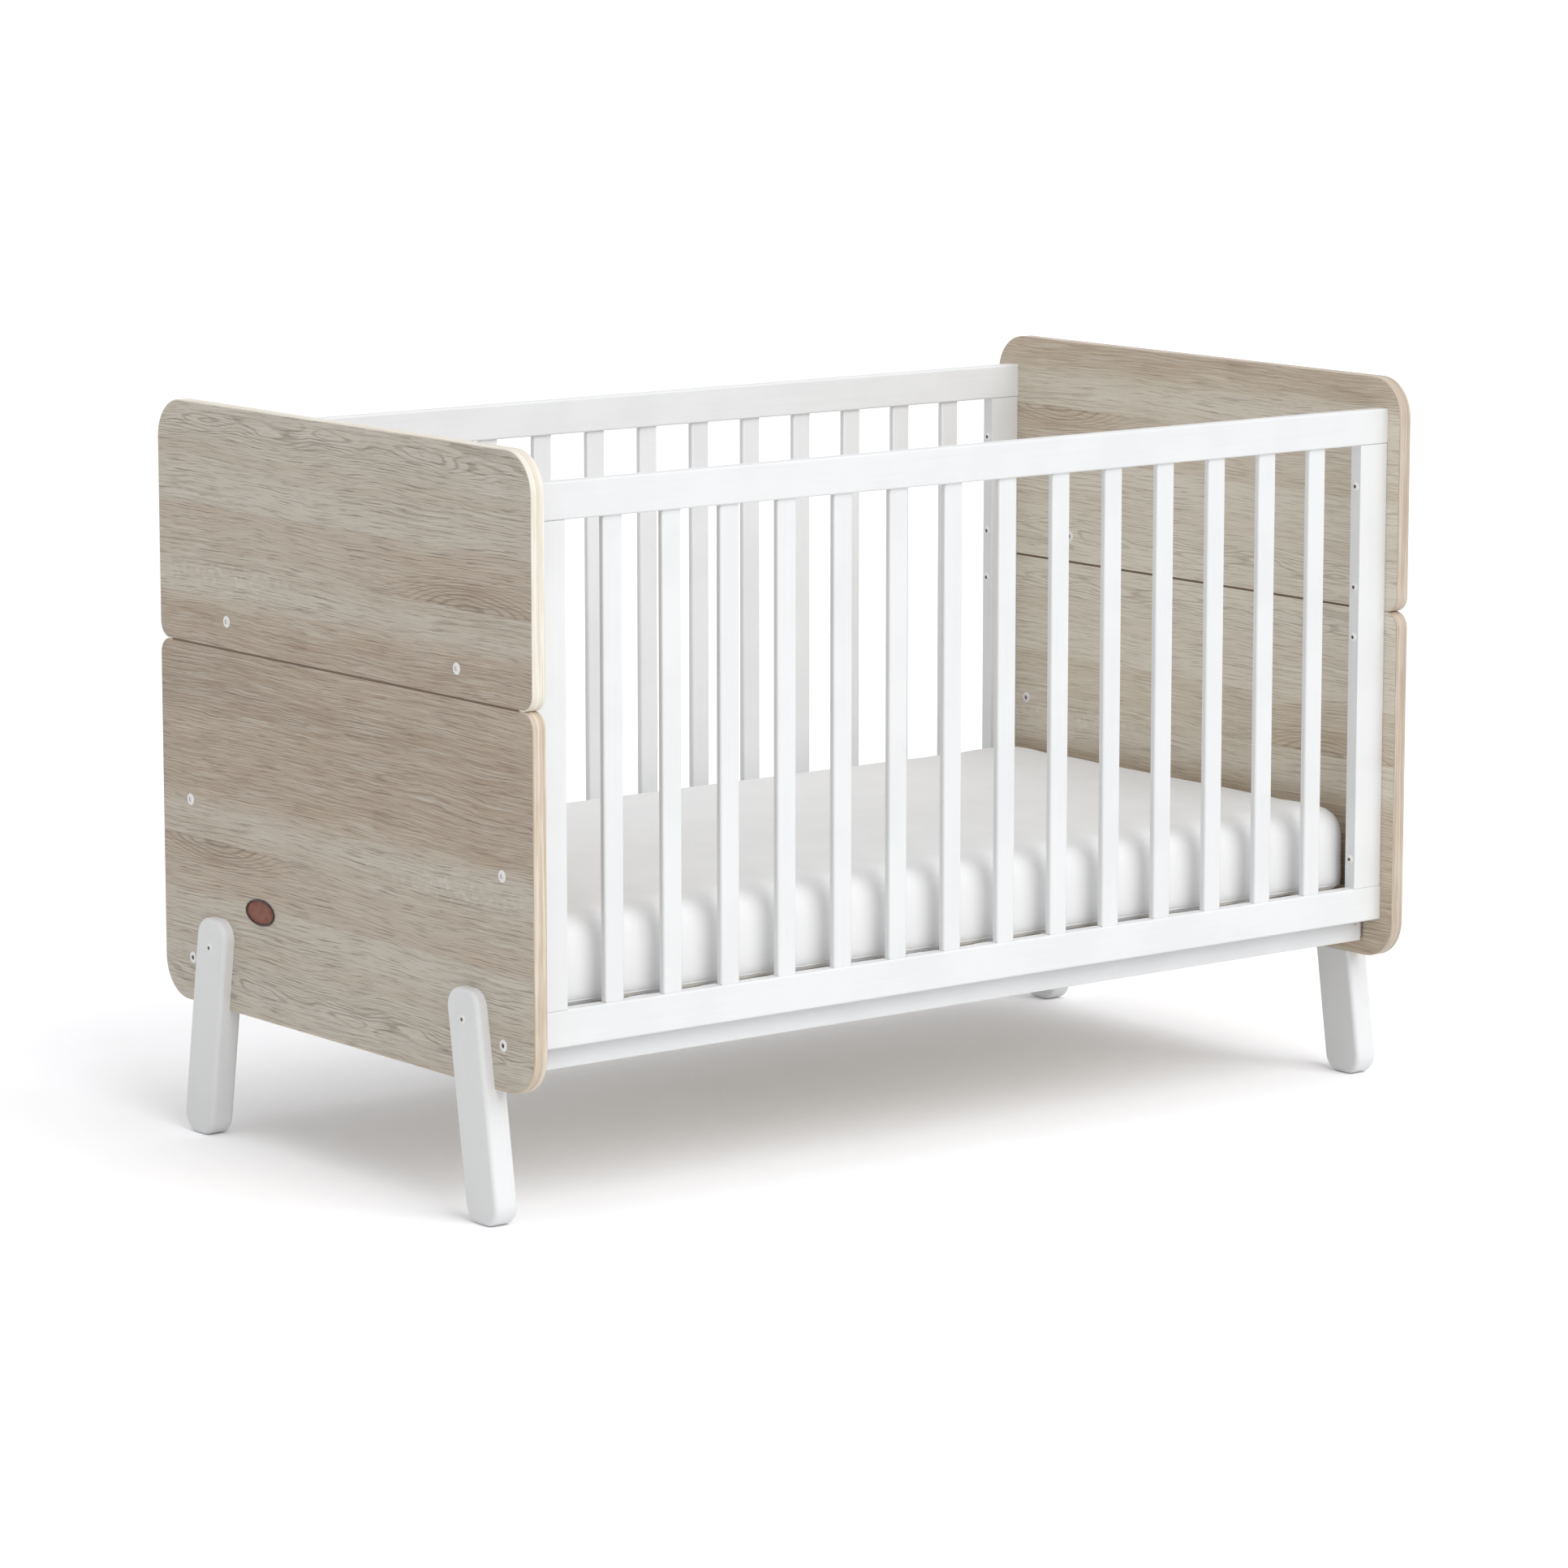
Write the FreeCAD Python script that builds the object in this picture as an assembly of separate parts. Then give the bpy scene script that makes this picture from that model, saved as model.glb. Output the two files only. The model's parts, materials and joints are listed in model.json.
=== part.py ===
"""Baby crib with slatted sides, two-piece end panels, splayed legs and a height-adjustable base.

Millimetres, +Z up. X runs along the length, Y from the front (-Y) to the rear (+Y).
The origin is on the floor, under the middle of the crib. One STEP file per sub-part.
"""
import FreeCAD, Part
import math
import os

Vector = FreeCAD.Vector

# ---------------------------------------------------------------- driving dimensions
# End panels: each end is a lower and an upper panel, meeting at a seam.
sleeping_length = 1330.0       # between the inner faces of the two ends
panel_width = 792.0            # depth of the crib, over the end panels
panel_thickness = 18.0
lower_panel_height = 450.0
upper_panel_height = 298.0
panel_ground_clearance = 162.0
outer_corner_radius = 50.0     # top corners of an end, and its bottom corners
seam_corner_radius = 20.0      # corners where the two panels meet
band_thickness = 1.5           # edge band glued round each panel
band_arris = 0.8               # its rounded outer edges

# Side frames: two rails, two stiles and a row of slats, front and rear alike.
frame_inset = 23.0             # outer face of a frame, in from the edge of the end panels
frame_thickness = 18.0
rail_height = 44.5
rail_arris = 2.5
top_rail_drop = 38.5           # top of the top rail, below the top of the ends
bottom_rail_rise = 51.0        # underside of the bottom rail, above the underside of the ends
stile_width = 45.5
stile_arris = 1.0
slat_count = 14
slat_width = 28.0
slat_thickness = 9.0
slat_arris = 2.5
slat_tenon = 12.0              # how far a slat enters each rail

# Legs: a board half-lapped over the outside and the underside of an end panel.
leg_width = 63.0
leg_proud = 15.0               # thickness outside the panel
leg_rise = 114.0               # top of a leg, above the underside of the panel
leg_splay = 8.6                # degrees, front legs forwards and rear legs backwards
leg_corner_radius = 24.0
leg_arris = 6.0
leg_bolt_inset = 124.0         # leg bolt, in from the edge of the panel
leg_bolt_height = 77.5         # above the underside of the panel

# Base: a slatted frame that hangs on four studs, at one of two heights.
base_side_gap = 13.0           # side frame to base rail
base_end_gap = 2.0             # end panel to hook plate
base_rail_height = 60.0
base_rail_drop = 35.0          # underside of the base rails, below the studs
base_rail_thickness = 18.0
base_low_height = 54.5         # stud height above the underside of the ends
base_high_height = 253.5
base_slat_count = 13
base_slat_width = 60.0
base_slat_thickness = 8.0
base_slat_arris = 2.0
base_arris = 1.0
hook_thickness = 2.5
hook_width = 36.0
hook_margin = 3.0              # hook plate, short of the top and bottom of its rail
hook_corner_radius = 3.0
hook_screw_inset = 9.0         # from the edges of the plate

# Mattress: a foam core in a fitted cover.
mattress_gap = 5.0             # mattress to the frame and panels all round
mattress_thickness = 110.0
mattress_corner_radius = 70.0
mattress_arris = 28.0
cover_thickness = 2.0

# Fasteners.
stile_bolt_diameter = 6.0
stile_bolt_head = 12.0
stile_bolt_head_height = 2.4
stile_bolt_low = 133.0         # above the underside of the ends
stile_bolt_below_seam = 30.0
stile_bolt_above_seam = 34.0
stile_bolt_drop = 135.5        # top bolt, below the top of the ends
insert_diameter = 10.0
insert_length = 12.0
cap_head = 14.5                # low domed heads on the end panels
cap_head_height = 1.2
sleeve_diameter = 8.0
sleeve_screw_diameter = 5.5
stud_diameter = 8.0
seam_pin_diameter = 12.0
seam_pin_depth = 42.0          # into the lower panel
seam_pin_inset = 151.0         # in from the edge of the panel
seam_pin_cross_height = 34.5   # the sleeve that locks a seam pin, above the seam
leg_bolt_diameter = 6.0
leg_bolt_head = 12.0
leg_bolt_head_height = 2.0
dowel_diameter = 8.0
dowel_length = 50.0
seam_dowel_length = 40.0
frame_dowel_spacing = 22.0
wood_screw_diameter = 4.0
wood_screw_head = 7.6
slat_screw_length = 28.0
corner_screw_length = 50.0
corner_screw_spacing = 16.0
hook_screw_length = 25.0
screw_point = 0.8              # width of a wood screw's tip
head_edge = 0.4                # upright edge of a domed head, below its dome
socket_share = 0.36            # hexagon socket across flats, as a share of the head
socket_depth_share = 0.4       # how deep the socket goes below the dome, as a share of the shank

# Badge: a bare oval plate in a raised rim, outside the left end.
badge_length = 62.0
badge_height = 33.0
badge_rim_width = 3.0
badge_plate_thickness = 1.6
badge_rim_thickness = 2.6
badge_inset = 218.0            # centre, in from the rear edge of the panel
badge_rise = 134.0             # above the underside of the panel

# Clearances.
bore_clearance = 0.1           # round a fixed fastener or tenon, each side
moving_clearance = 0.3         # between pieces that move on each other
bore_bottom = 0.5              # left free past the end of a fastener

# ---------------------------------------------------------------- places worked out from them
inner_x = sleeping_length / 2
outer_x = inner_x + panel_thickness
half_width = panel_width / 2
panel_bottom = panel_ground_clearance
seam_z = panel_bottom + lower_panel_height
panel_top = seam_z + upper_panel_height

frame_outer_y = half_width - frame_inset
frame_inner_y = frame_outer_y - frame_thickness
frame_mid_y = frame_outer_y - frame_thickness / 2
bottom_rail_z = panel_bottom + bottom_rail_rise
stile_bottom = bottom_rail_z + rail_height
stile_top = panel_top - top_rail_drop - rail_height
stile_inner_x = inner_x - stile_width
stile_bolt_heights = [
    panel_bottom + stile_bolt_low,
    seam_z - stile_bolt_below_seam,
    seam_z + stile_bolt_above_seam,
    panel_top - stile_bolt_drop,
]

base_outer_y = frame_inner_y - base_side_gap
base_mid_y = base_outer_y - base_rail_thickness / 2
base_end_x = inner_x - base_end_gap - hook_thickness
base_stud_z = panel_bottom + base_low_height
base_bottom = base_stud_z - base_rail_drop
base_top = base_bottom + base_rail_height
hook_bottom = base_bottom + hook_margin
hook_top = base_top - hook_margin
slat_bed_top = base_top + base_slat_thickness
seam_pin_y = half_width - seam_pin_inset
seam_sleeve_z = seam_z + seam_pin_cross_height
seam_dowel_ys = [seam_pin_y / 2, (seam_pin_y + frame_inner_y) / 2]
leg_bolt_y = half_width - leg_bolt_inset
leg_bolt_z = panel_bottom + leg_bolt_height

ends = (-1, 1)                 # left and right
sides = (-1, 1)                # front and rear
end_names = {-1: "left", 1: "right"}
side_names = {-1: "front", 1: "rear"}


# ---------------------------------------------------------------- shared shapes
def box(x0, x1, y0, y1, z0, z1):
    """Box between two corners, given in any order."""
    low = Vector(min(x0, x1), min(y0, y1), min(z0, z1))
    return Part.makeBox(abs(x1 - x0), abs(y1 - y0), abs(z1 - z0), low)


def rod(diameter, start, end):
    """Round bar between two points."""
    run = end - start
    return Part.makeCylinder(diameter / 2, run.Length, start, run)


def bore(diameter, start, end):
    """Hole for a rod of a diameter, with clearance round it."""
    return rod(diameter + 2 * bore_clearance, start, end)


def edges_along(shape, axis):
    """Straight edges of a shape that run along an axis."""
    found = []
    for edge in shape.Edges:
        if edge.Curve.TypeId != "Part::GeomLine":
            continue
        run = edge.Vertexes[-1].Point - edge.Vertexes[0].Point
        if run.Length > 0 and abs(run.dot(axis)) > 0.999 * run.Length:
            found.append(edge)
    return found


def rounded_bar(x0, x1, y0, y1, z0, z1, axis, radius):
    """Box with the four edges along one axis rounded."""
    bar = box(x0, x1, y0, y1, z0, z1)
    return bar.makeFillet(radius, edges_along(bar, axis))


def edges_in_plane(shape, x):
    """Edges of a shape that lie in the plane at x."""
    return [e for e in shape.Edges if abs(e.BoundBox.XMin - x) < 1e-6 and abs(e.BoundBox.XMax - x) < 1e-6]


def turned(shape, direction, place):
    """A fastener modelled along +Z from the origin, laid along a direction from a place."""
    turn = FreeCAD.Rotation(Vector(0, 0, 1), direction)
    return shape.transformed(FreeCAD.Placement(place, turn).toMatrix(), copy=True)


def socket_cut(head, depth, top):
    """Hexagon socket to cut from a head whose crown is at height top."""
    corner = head * socket_share / math.sqrt(3)
    points = [
        Vector(corner * math.cos(math.radians(60 * i)), corner * math.sin(math.radians(60 * i)), top - depth)
        for i in range(7)
    ]
    return Part.Face(Part.makePolygon(points)).extrude(Vector(0, 0, depth + 1))


def domed_head(diameter, height):
    """Low domed head standing on the plane z = 0."""
    radius = diameter / 2
    rise = height - head_edge
    sphere = (radius ** 2 + rise ** 2) / (2 * rise)
    corner = Vector(radius, 0, head_edge)
    crown = Vector(0, 0, height)
    middle = Vector(radius / 2, 0, height - sphere + math.sqrt(sphere ** 2 - (radius / 2) ** 2))
    outline = Part.Wire([
        Part.makeLine(Vector(0, 0, 0), Vector(radius, 0, 0)),
        Part.makeLine(Vector(radius, 0, 0), corner),
        Part.Arc(corner, middle, crown).toShape(),
        Part.makeLine(crown, Vector(0, 0, 0)),
    ])
    return Part.Face(outline).revolve(Vector(0, 0, 0), Vector(0, 0, 1), 360)


def domed_bolt(head, head_height, shank, length):
    """Bolt along -Z, its domed head standing on the plane z = 0."""
    body = domed_head(head, head_height).fuse(rod(shank, Vector(0, 0, 0), Vector(0, 0, -length)))
    socket = socket_cut(head, head_height + shank * socket_depth_share, head_height)
    return body.cut(socket).removeSplitter()


def countersunk_screw(length):
    """Wood screw along -Z, its head flush with the plane z = 0."""
    sink = (wood_screw_head - wood_screw_diameter) / 2
    cone = Part.makeCone(wood_screw_diameter / 2, wood_screw_head / 2, sink, Vector(0, 0, -sink))
    tip = Vector(0, 0, -length)
    point = Part.makeCone(screw_point / 2, wood_screw_diameter / 2, wood_screw_diameter, tip)
    shank = rod(wood_screw_diameter, Vector(0, 0, -sink), Vector(0, 0, wood_screw_diameter - length))
    body = cone.fuse([shank, point])
    return body.cut(socket_cut(wood_screw_head, wood_screw_diameter * socket_depth_share, 0)).removeSplitter()


def countersunk_bore(length):
    """Hole for a countersunk screw, with clearance round it."""
    sink = (wood_screw_head - wood_screw_diameter) / 2
    cone = Part.makeCone(
        wood_screw_diameter / 2 + bore_clearance, wood_screw_head / 2 + bore_clearance,
        sink, Vector(0, 0, -sink)
    )
    shank = bore(wood_screw_diameter, Vector(0, 0, -sink / 2), Vector(0, 0, -length - bore_clearance))
    return cone.fuse(shank)


def threaded_insert(bolt):
    """Insert nut along -Z, flush with the plane z = 0."""
    barrel = rod(insert_diameter, Vector(0, 0, 0), Vector(0, 0, -insert_length))
    return barrel.cut(bore(bolt, Vector(0, 0, 1), Vector(0, 0, -insert_length - 1)))


def insert_bore():
    """Blind hole for an insert nut."""
    return bore(insert_diameter, Vector(0, 0, 1), Vector(0, 0, -insert_length - bore_bottom))


def save(name, solids):
    """Write one sub-part, made of one or several solids, to its own file."""
    shape = solids if isinstance(solids, Part.Shape) else Part.makeCompound(solids)
    shape.exportStep("parts/%s.step" % name)
    print("%-24s %2d solid(s)  valid %s" % (name, len(shape.Solids), shape.isValid()))


# ---------------------------------------------------------------- end panels
def panel_outline(half, z0, z1, low_radius, high_radius):
    """Closed outline of a panel in the plane x = 0, with rounded corners."""
    corners = [
        (Vector(0, half, z0), low_radius),
        (Vector(0, half, z1), high_radius),
        (Vector(0, -half, z1), high_radius),
        (Vector(0, -half, z0), low_radius),
    ]
    arcs = []
    for (corner, radius), (before, _), (after, _) in zip(
        corners, corners[-1:] + corners[:-1], corners[1:] + corners[:1]
    ):
        start = corner + (before - corner).normalize() * radius
        end = corner + (after - corner).normalize() * radius
        centre = start + end - corner
        middle = centre + (corner - centre).normalize() * radius
        arcs.append((start, middle, end))
    edges = []
    for index, (start, middle, end) in enumerate(arcs):
        edges.append(Part.Arc(start, middle, end).toShape())
        edges.append(Part.makeLine(end, arcs[(index + 1) % len(arcs)][0]))
    return Part.Wire(edges)


def panel_and_band(x0, z0, z1, low_radius, high_radius):
    """Board and its edge band, starting at x0 and one panel thickness deep."""
    across = Vector(panel_thickness, 0, 0)
    whole = Part.Face(panel_outline(half_width, z0, z1, low_radius, high_radius)).extrude(across)
    board = Part.Face(panel_outline(
        half_width - band_thickness, z0 + band_thickness, z1 - band_thickness,
        low_radius - band_thickness, high_radius - band_thickness,
    )).extrude(across)
    arrises = edges_in_plane(whole, 0) + edges_in_plane(whole, panel_thickness)
    band = whole.makeFillet(band_arris, arrises).cut(board)
    for piece in (board, band):
        piece.translate(Vector(x0, 0, 0))
    return board, band


def end_bores(end):
    """Every hole that passes through or into the panels of one end."""
    inward = Vector(-end, 0, 0)
    outside = Vector(end * (outer_x + 1), 0, 0)
    inside = Vector(end * (inner_x - 1), 0, 0)
    holes = []
    for side in sides:
        for z in stile_bolt_heights:
            holes.append(turned(insert_bore(), inward, Vector(end * inner_x, side * frame_mid_y, z)))
        holes.append(turned(insert_bore(), -inward, Vector(end * outer_x, side * leg_bolt_y, leg_bolt_z)))
        sleeve_places = (
            (base_mid_y, panel_bottom + base_high_height),
            (seam_pin_y, seam_sleeve_z),
        )
        for y, z in sleeve_places:
            place = Vector(0, side * y, z)
            holes.append(bore(sleeve_diameter, outside + place, inside + place))
        stud_place = Vector(0, side * base_mid_y, base_stud_z)
        holes.append(bore(stud_diameter, outside + stud_place, inside + stud_place))
        middle_x = end * (inner_x + panel_thickness / 2)
        holes.append(bore(
            seam_pin_diameter,
            Vector(middle_x, side * seam_pin_y, seam_z - seam_pin_depth),
            Vector(middle_x, side * seam_pin_y, seam_sleeve_z + seam_pin_diameter + bore_clearance),
        ))
        for y in seam_dowel_ys:
            reach = seam_dowel_length / 2 + bore_clearance
            holes.append(bore(
                dowel_diameter,
                Vector(middle_x, side * y, seam_z - reach),
                Vector(middle_x, side * y, seam_z + reach),
            ))
    return Part.makeCompound(holes)


def make_ends():
    """Lower and upper panel, and their edge bands, at both ends."""
    for end in ends:
        x0 = inner_x if end > 0 else -outer_x
        holes = end_bores(end)
        levels = (
            ("lower", panel_bottom, seam_z, outer_corner_radius, seam_corner_radius),
            ("upper", seam_z, panel_top, seam_corner_radius, outer_corner_radius),
        )
        for level, z0, z1, low_radius, high_radius in levels:
            board, band = panel_and_band(x0, z0, z1, low_radius, high_radius)
            save("%s_%s_panel" % (end_names[end], level), board.cut(holes))
            save("%s_%s_edge_band" % (end_names[end], level), band.cut(holes))


# ---------------------------------------------------------------- side frames
def slat_centres():
    """X of each slat, evenly spaced between the stiles."""
    clear = 2 * stile_inner_x
    gap = (clear - slat_count * slat_width) / (slat_count + 1)
    pitch = gap + slat_width
    return [-stile_inner_x + gap + slat_width / 2 + pitch * i for i in range(slat_count)]


def frame_dowel_places():
    """X of the two dowels in each stile, at both ends."""
    middle = inner_x - stile_width / 2
    return [end * (middle + part * frame_dowel_spacing / 2) for end in ends for part in (-1, 1)]


def frame_dowel_bores(y):
    """Holes for the dowels between the stiles and the rails."""
    reach = dowel_length / 2 + bore_clearance
    holes = []
    for x in frame_dowel_places():
        for z in (stile_bottom, stile_top):
            holes.append(bore(dowel_diameter, Vector(x, y, z - reach), Vector(x, y, z + reach)))
    return Part.makeCompound(holes)


def make_side_frame(side):
    """Rails, stiles and slats of the front or the rear."""
    name = side_names[side]
    y = side * frame_mid_y
    y0 = y - frame_thickness / 2
    y1 = y + frame_thickness / 2
    dowels = frame_dowel_bores(y)
    mortises = Part.makeCompound([
        box(x - slat_width / 2 - bore_clearance, x + slat_width / 2 + bore_clearance,
            y - slat_thickness / 2 - bore_clearance, y + slat_thickness / 2 + bore_clearance,
            stile_bottom - slat_tenon - bore_clearance, stile_top + slat_tenon + bore_clearance)
        for x in slat_centres()
    ])
    along = Vector(1, 0, 0)
    up = Vector(0, 0, 1)
    rails = (("bottom", stile_bottom - rail_height), ("top", stile_top))
    for level, z0 in rails:
        rail = rounded_bar(-inner_x, inner_x, y0, y1, z0, z0 + rail_height, along, rail_arris)
        save("%s_%s_rail" % (name, level), rail.cut(mortises).cut(dowels))
    for end in ends:
        stile = rounded_bar(end * stile_inner_x, end * inner_x, y0, y1, stile_bottom, stile_top,
                            up, stile_arris)
        near = end * (stile_inner_x - 1)
        far = end * (inner_x + 1)
        bolts = Part.makeCompound([
            bore(stile_bolt_diameter, Vector(near, y, z), Vector(far, y, z)) for z in stile_bolt_heights
        ])
        save("%s_%s_stile" % (name, end_names[end]), stile.cut(dowels).cut(bolts))
    slats = [
        rounded_bar(x - slat_width / 2, x + slat_width / 2, y - slat_thickness / 2, y + slat_thickness / 2,
                    stile_bottom - slat_tenon, stile_top + slat_tenon, up, slat_arris)
        for x in slat_centres()
    ]
    save("%s_slats" % name, slats)


# ---------------------------------------------------------------- fasteners of the ends and frames
def make_frame_fasteners():
    """Dowels of the side frames, and the bolts that hold them to the ends."""
    dowels = []
    bolts = []
    inserts = []
    insert = threaded_insert(stile_bolt_diameter)
    bolt = domed_bolt(stile_bolt_head, stile_bolt_head_height, stile_bolt_diameter,
                      stile_width + insert_length - bore_bottom)
    for side in sides:
        y = side * frame_mid_y
        for x in frame_dowel_places():
            for z in (stile_bottom, stile_top):
                half = Vector(0, 0, dowel_length / 2)
                dowels.append(rod(dowel_diameter, Vector(x, y, z) - half, Vector(x, y, z) + half))
        for end in ends:
            inward = Vector(-end, 0, 0)
            for z in stile_bolt_heights:
                bolts.append(turned(bolt, inward, Vector(end * stile_inner_x, y, z)))
                inserts.append(turned(insert, inward, Vector(end * inner_x, y, z)))
    save("frame_dowels", dowels)
    save("stile_bolts", bolts)
    save("stile_inserts", inserts)


def sleeve_nut():
    """Sleeve along -Z through a panel, its domed head on the inner face at z = 0."""
    body = domed_head(cap_head, cap_head_height)
    body = body.fuse(rod(sleeve_diameter, Vector(0, 0, 0), Vector(0, 0, -panel_thickness)))
    body = body.cut(bore(sleeve_screw_diameter, Vector(0, 0, -panel_thickness - 1), Vector(0, 0, -2)))
    return body.cut(socket_cut(cap_head, cap_head_height + 1, cap_head_height)).removeSplitter()


def make_panel_fasteners():
    """Locked pins and dowels in the seams, studs and spare sleeves for the base, leg bolts."""
    groups = {name: [] for name in (
        "seam_pins", "seam_dowels", "panel_sleeve_nuts", "panel_cap_screws",
        "base_support_studs", "leg_bolts", "leg_inserts",
    )}
    cap_screw = domed_bolt(cap_head, cap_head_height, sleeve_screw_diameter, panel_thickness - 3)
    stud = domed_bolt(cap_head, cap_head_height, stud_diameter,
                      panel_thickness + base_end_gap + hook_thickness - moving_clearance)
    leg_bolt = domed_bolt(leg_bolt_head, leg_bolt_head_height, leg_bolt_diameter,
                          leg_proud + insert_length - bore_bottom)
    for end in ends:
        inward = Vector(-end, 0, 0)
        outward = Vector(end, 0, 0)
        middle_x = end * (inner_x + panel_thickness / 2)
        for side in sides:
            pin = rod(
                seam_pin_diameter,
                Vector(middle_x, side * seam_pin_y, seam_z - seam_pin_depth),
                Vector(middle_x, side * seam_pin_y, seam_sleeve_z + seam_pin_diameter),
            )
            cross = Vector(0, side * seam_pin_y, seam_sleeve_z)
            pin = pin.cut(bore(sleeve_diameter, cross + outward * inner_x, cross + outward * outer_x))
            groups["seam_pins"].append(pin)
            half = Vector(0, 0, seam_dowel_length / 2)
            for y in seam_dowel_ys:
                place = Vector(middle_x, side * y, seam_z)
                groups["seam_dowels"].append(rod(dowel_diameter, place - half, place + half))
            for place in (Vector(0, side * base_mid_y, panel_bottom + base_high_height), cross):
                groups["panel_sleeve_nuts"].append(turned(sleeve_nut(), inward, place + outward * inner_x))
                groups["panel_cap_screws"].append(turned(cap_screw, outward, place + outward * outer_x))
            stud_place = Vector(end * outer_x, side * base_mid_y, base_stud_z)
            groups["base_support_studs"].append(turned(stud, outward, stud_place))
            bolt_place = Vector(end * (outer_x + leg_proud), side * leg_bolt_y, leg_bolt_z)
            groups["leg_bolts"].append(turned(leg_bolt, outward, bolt_place))
            insert_place = Vector(end * outer_x, side * leg_bolt_y, leg_bolt_z)
            groups["leg_inserts"].append(turned(threaded_insert(leg_bolt_diameter), outward, insert_place))
    for name, solids in groups.items():
        save(name, solids)


# ---------------------------------------------------------------- legs
def make_leg(end, side):
    """Leg board: splayed, rounded, flat-footed, lapped round the lower edge of its panel."""
    slope = math.tan(math.radians(leg_splay))
    across = leg_width / 2 / math.cos(math.radians(leg_splay))
    top = panel_bottom + leg_rise

    def edge_point(which, z):
        return Vector(0, side * (leg_bolt_y + (leg_bolt_z - z) * slope + which * across), z)

    corners = [edge_point(-1, 0), edge_point(1, 0), edge_point(1, top), edge_point(-1, top)]
    outline = Part.Face(Part.makePolygon(corners + corners[:1]))
    thickness = leg_proud + panel_thickness
    board = outline.extrude(Vector(thickness, 0, 0))
    board = board.makeFillet(leg_corner_radius, edges_along(board, Vector(1, 0, 0)))
    arrises = edges_in_plane(board, 0) + edges_in_plane(board, thickness)
    board = board.makeFillet(leg_arris, arrises)
    board.translate(Vector(inner_x if end > 0 else -inner_x - thickness, 0, 0))
    lap = box(end * (inner_x - 1), end * outer_x, -half_width, half_width, panel_bottom, top + 1)
    hole = bore(
        leg_bolt_diameter,
        Vector(end * inner_x, side * leg_bolt_y, leg_bolt_z),
        Vector(end * (outer_x + leg_proud + 1), side * leg_bolt_y, leg_bolt_z),
    )
    save("%s_%s_leg" % (side_names[side], end_names[end]), board.cut(lap).cut(hole))


# ---------------------------------------------------------------- base
def base_slat_centres():
    """X of each base slat, the outer ones flush with the ends of the rails."""
    first = -base_end_x + base_slat_width / 2
    pitch = -2 * first / (base_slat_count - 1)
    return [first + pitch * i for i in range(base_slat_count)]


def slat_screw_places():
    """Where the base slats are screwed down, on top of the slats."""
    return [Vector(x, side * base_mid_y, slat_bed_top) for x in base_slat_centres() for side in sides]


def corner_screw_places(end, side):
    """Two screws through a base rail into the end of a cross rail."""
    x = end * (base_end_x - base_rail_thickness / 2)
    middle_z = (base_bottom + base_top) / 2
    return [Vector(x, side * base_outer_y, middle_z + part * corner_screw_spacing / 2) for part in (-1, 1)]


def hook_screw_places(end, side):
    """One screw into the base rail above the slot, one into the cross rail beside it."""
    x = end * (base_end_x + hook_thickness)
    beside = base_outer_y - hook_width + hook_screw_inset
    return [
        Vector(x, side * base_mid_y, hook_top - hook_screw_inset),
        Vector(x, side * beside, hook_bottom + hook_screw_inset),
    ]


def make_hook_plate(end, side):
    """Steel plate on the end of a base rail, with a slot open downwards over its stud."""
    plate = rounded_bar(
        end * base_end_x, end * (base_end_x + hook_thickness),
        side * base_outer_y, side * (base_outer_y - hook_width),
        hook_bottom, hook_top, Vector(1, 0, 0), hook_corner_radius,
    )
    radius = stud_diameter / 2 + moving_clearance
    seat = Vector(end * base_end_x, side * base_mid_y, base_stud_z)
    seat_cut = rod(2 * radius, seat - Vector(end, 0, 0), seat + Vector(end * (hook_thickness + 1), 0, 0))
    slot = box(
        end * (base_end_x - 1), end * (base_end_x + hook_thickness + 1),
        side * base_mid_y - radius, side * base_mid_y + radius,
        base_stud_z, hook_bottom - 1,
    )
    plate = plate.cut(seat_cut).cut(slot)
    for place in hook_screw_places(end, side):
        plate = plate.cut(turned(countersunk_bore(hook_thickness + 1), Vector(end, 0, 0), place))
    return plate


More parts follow.
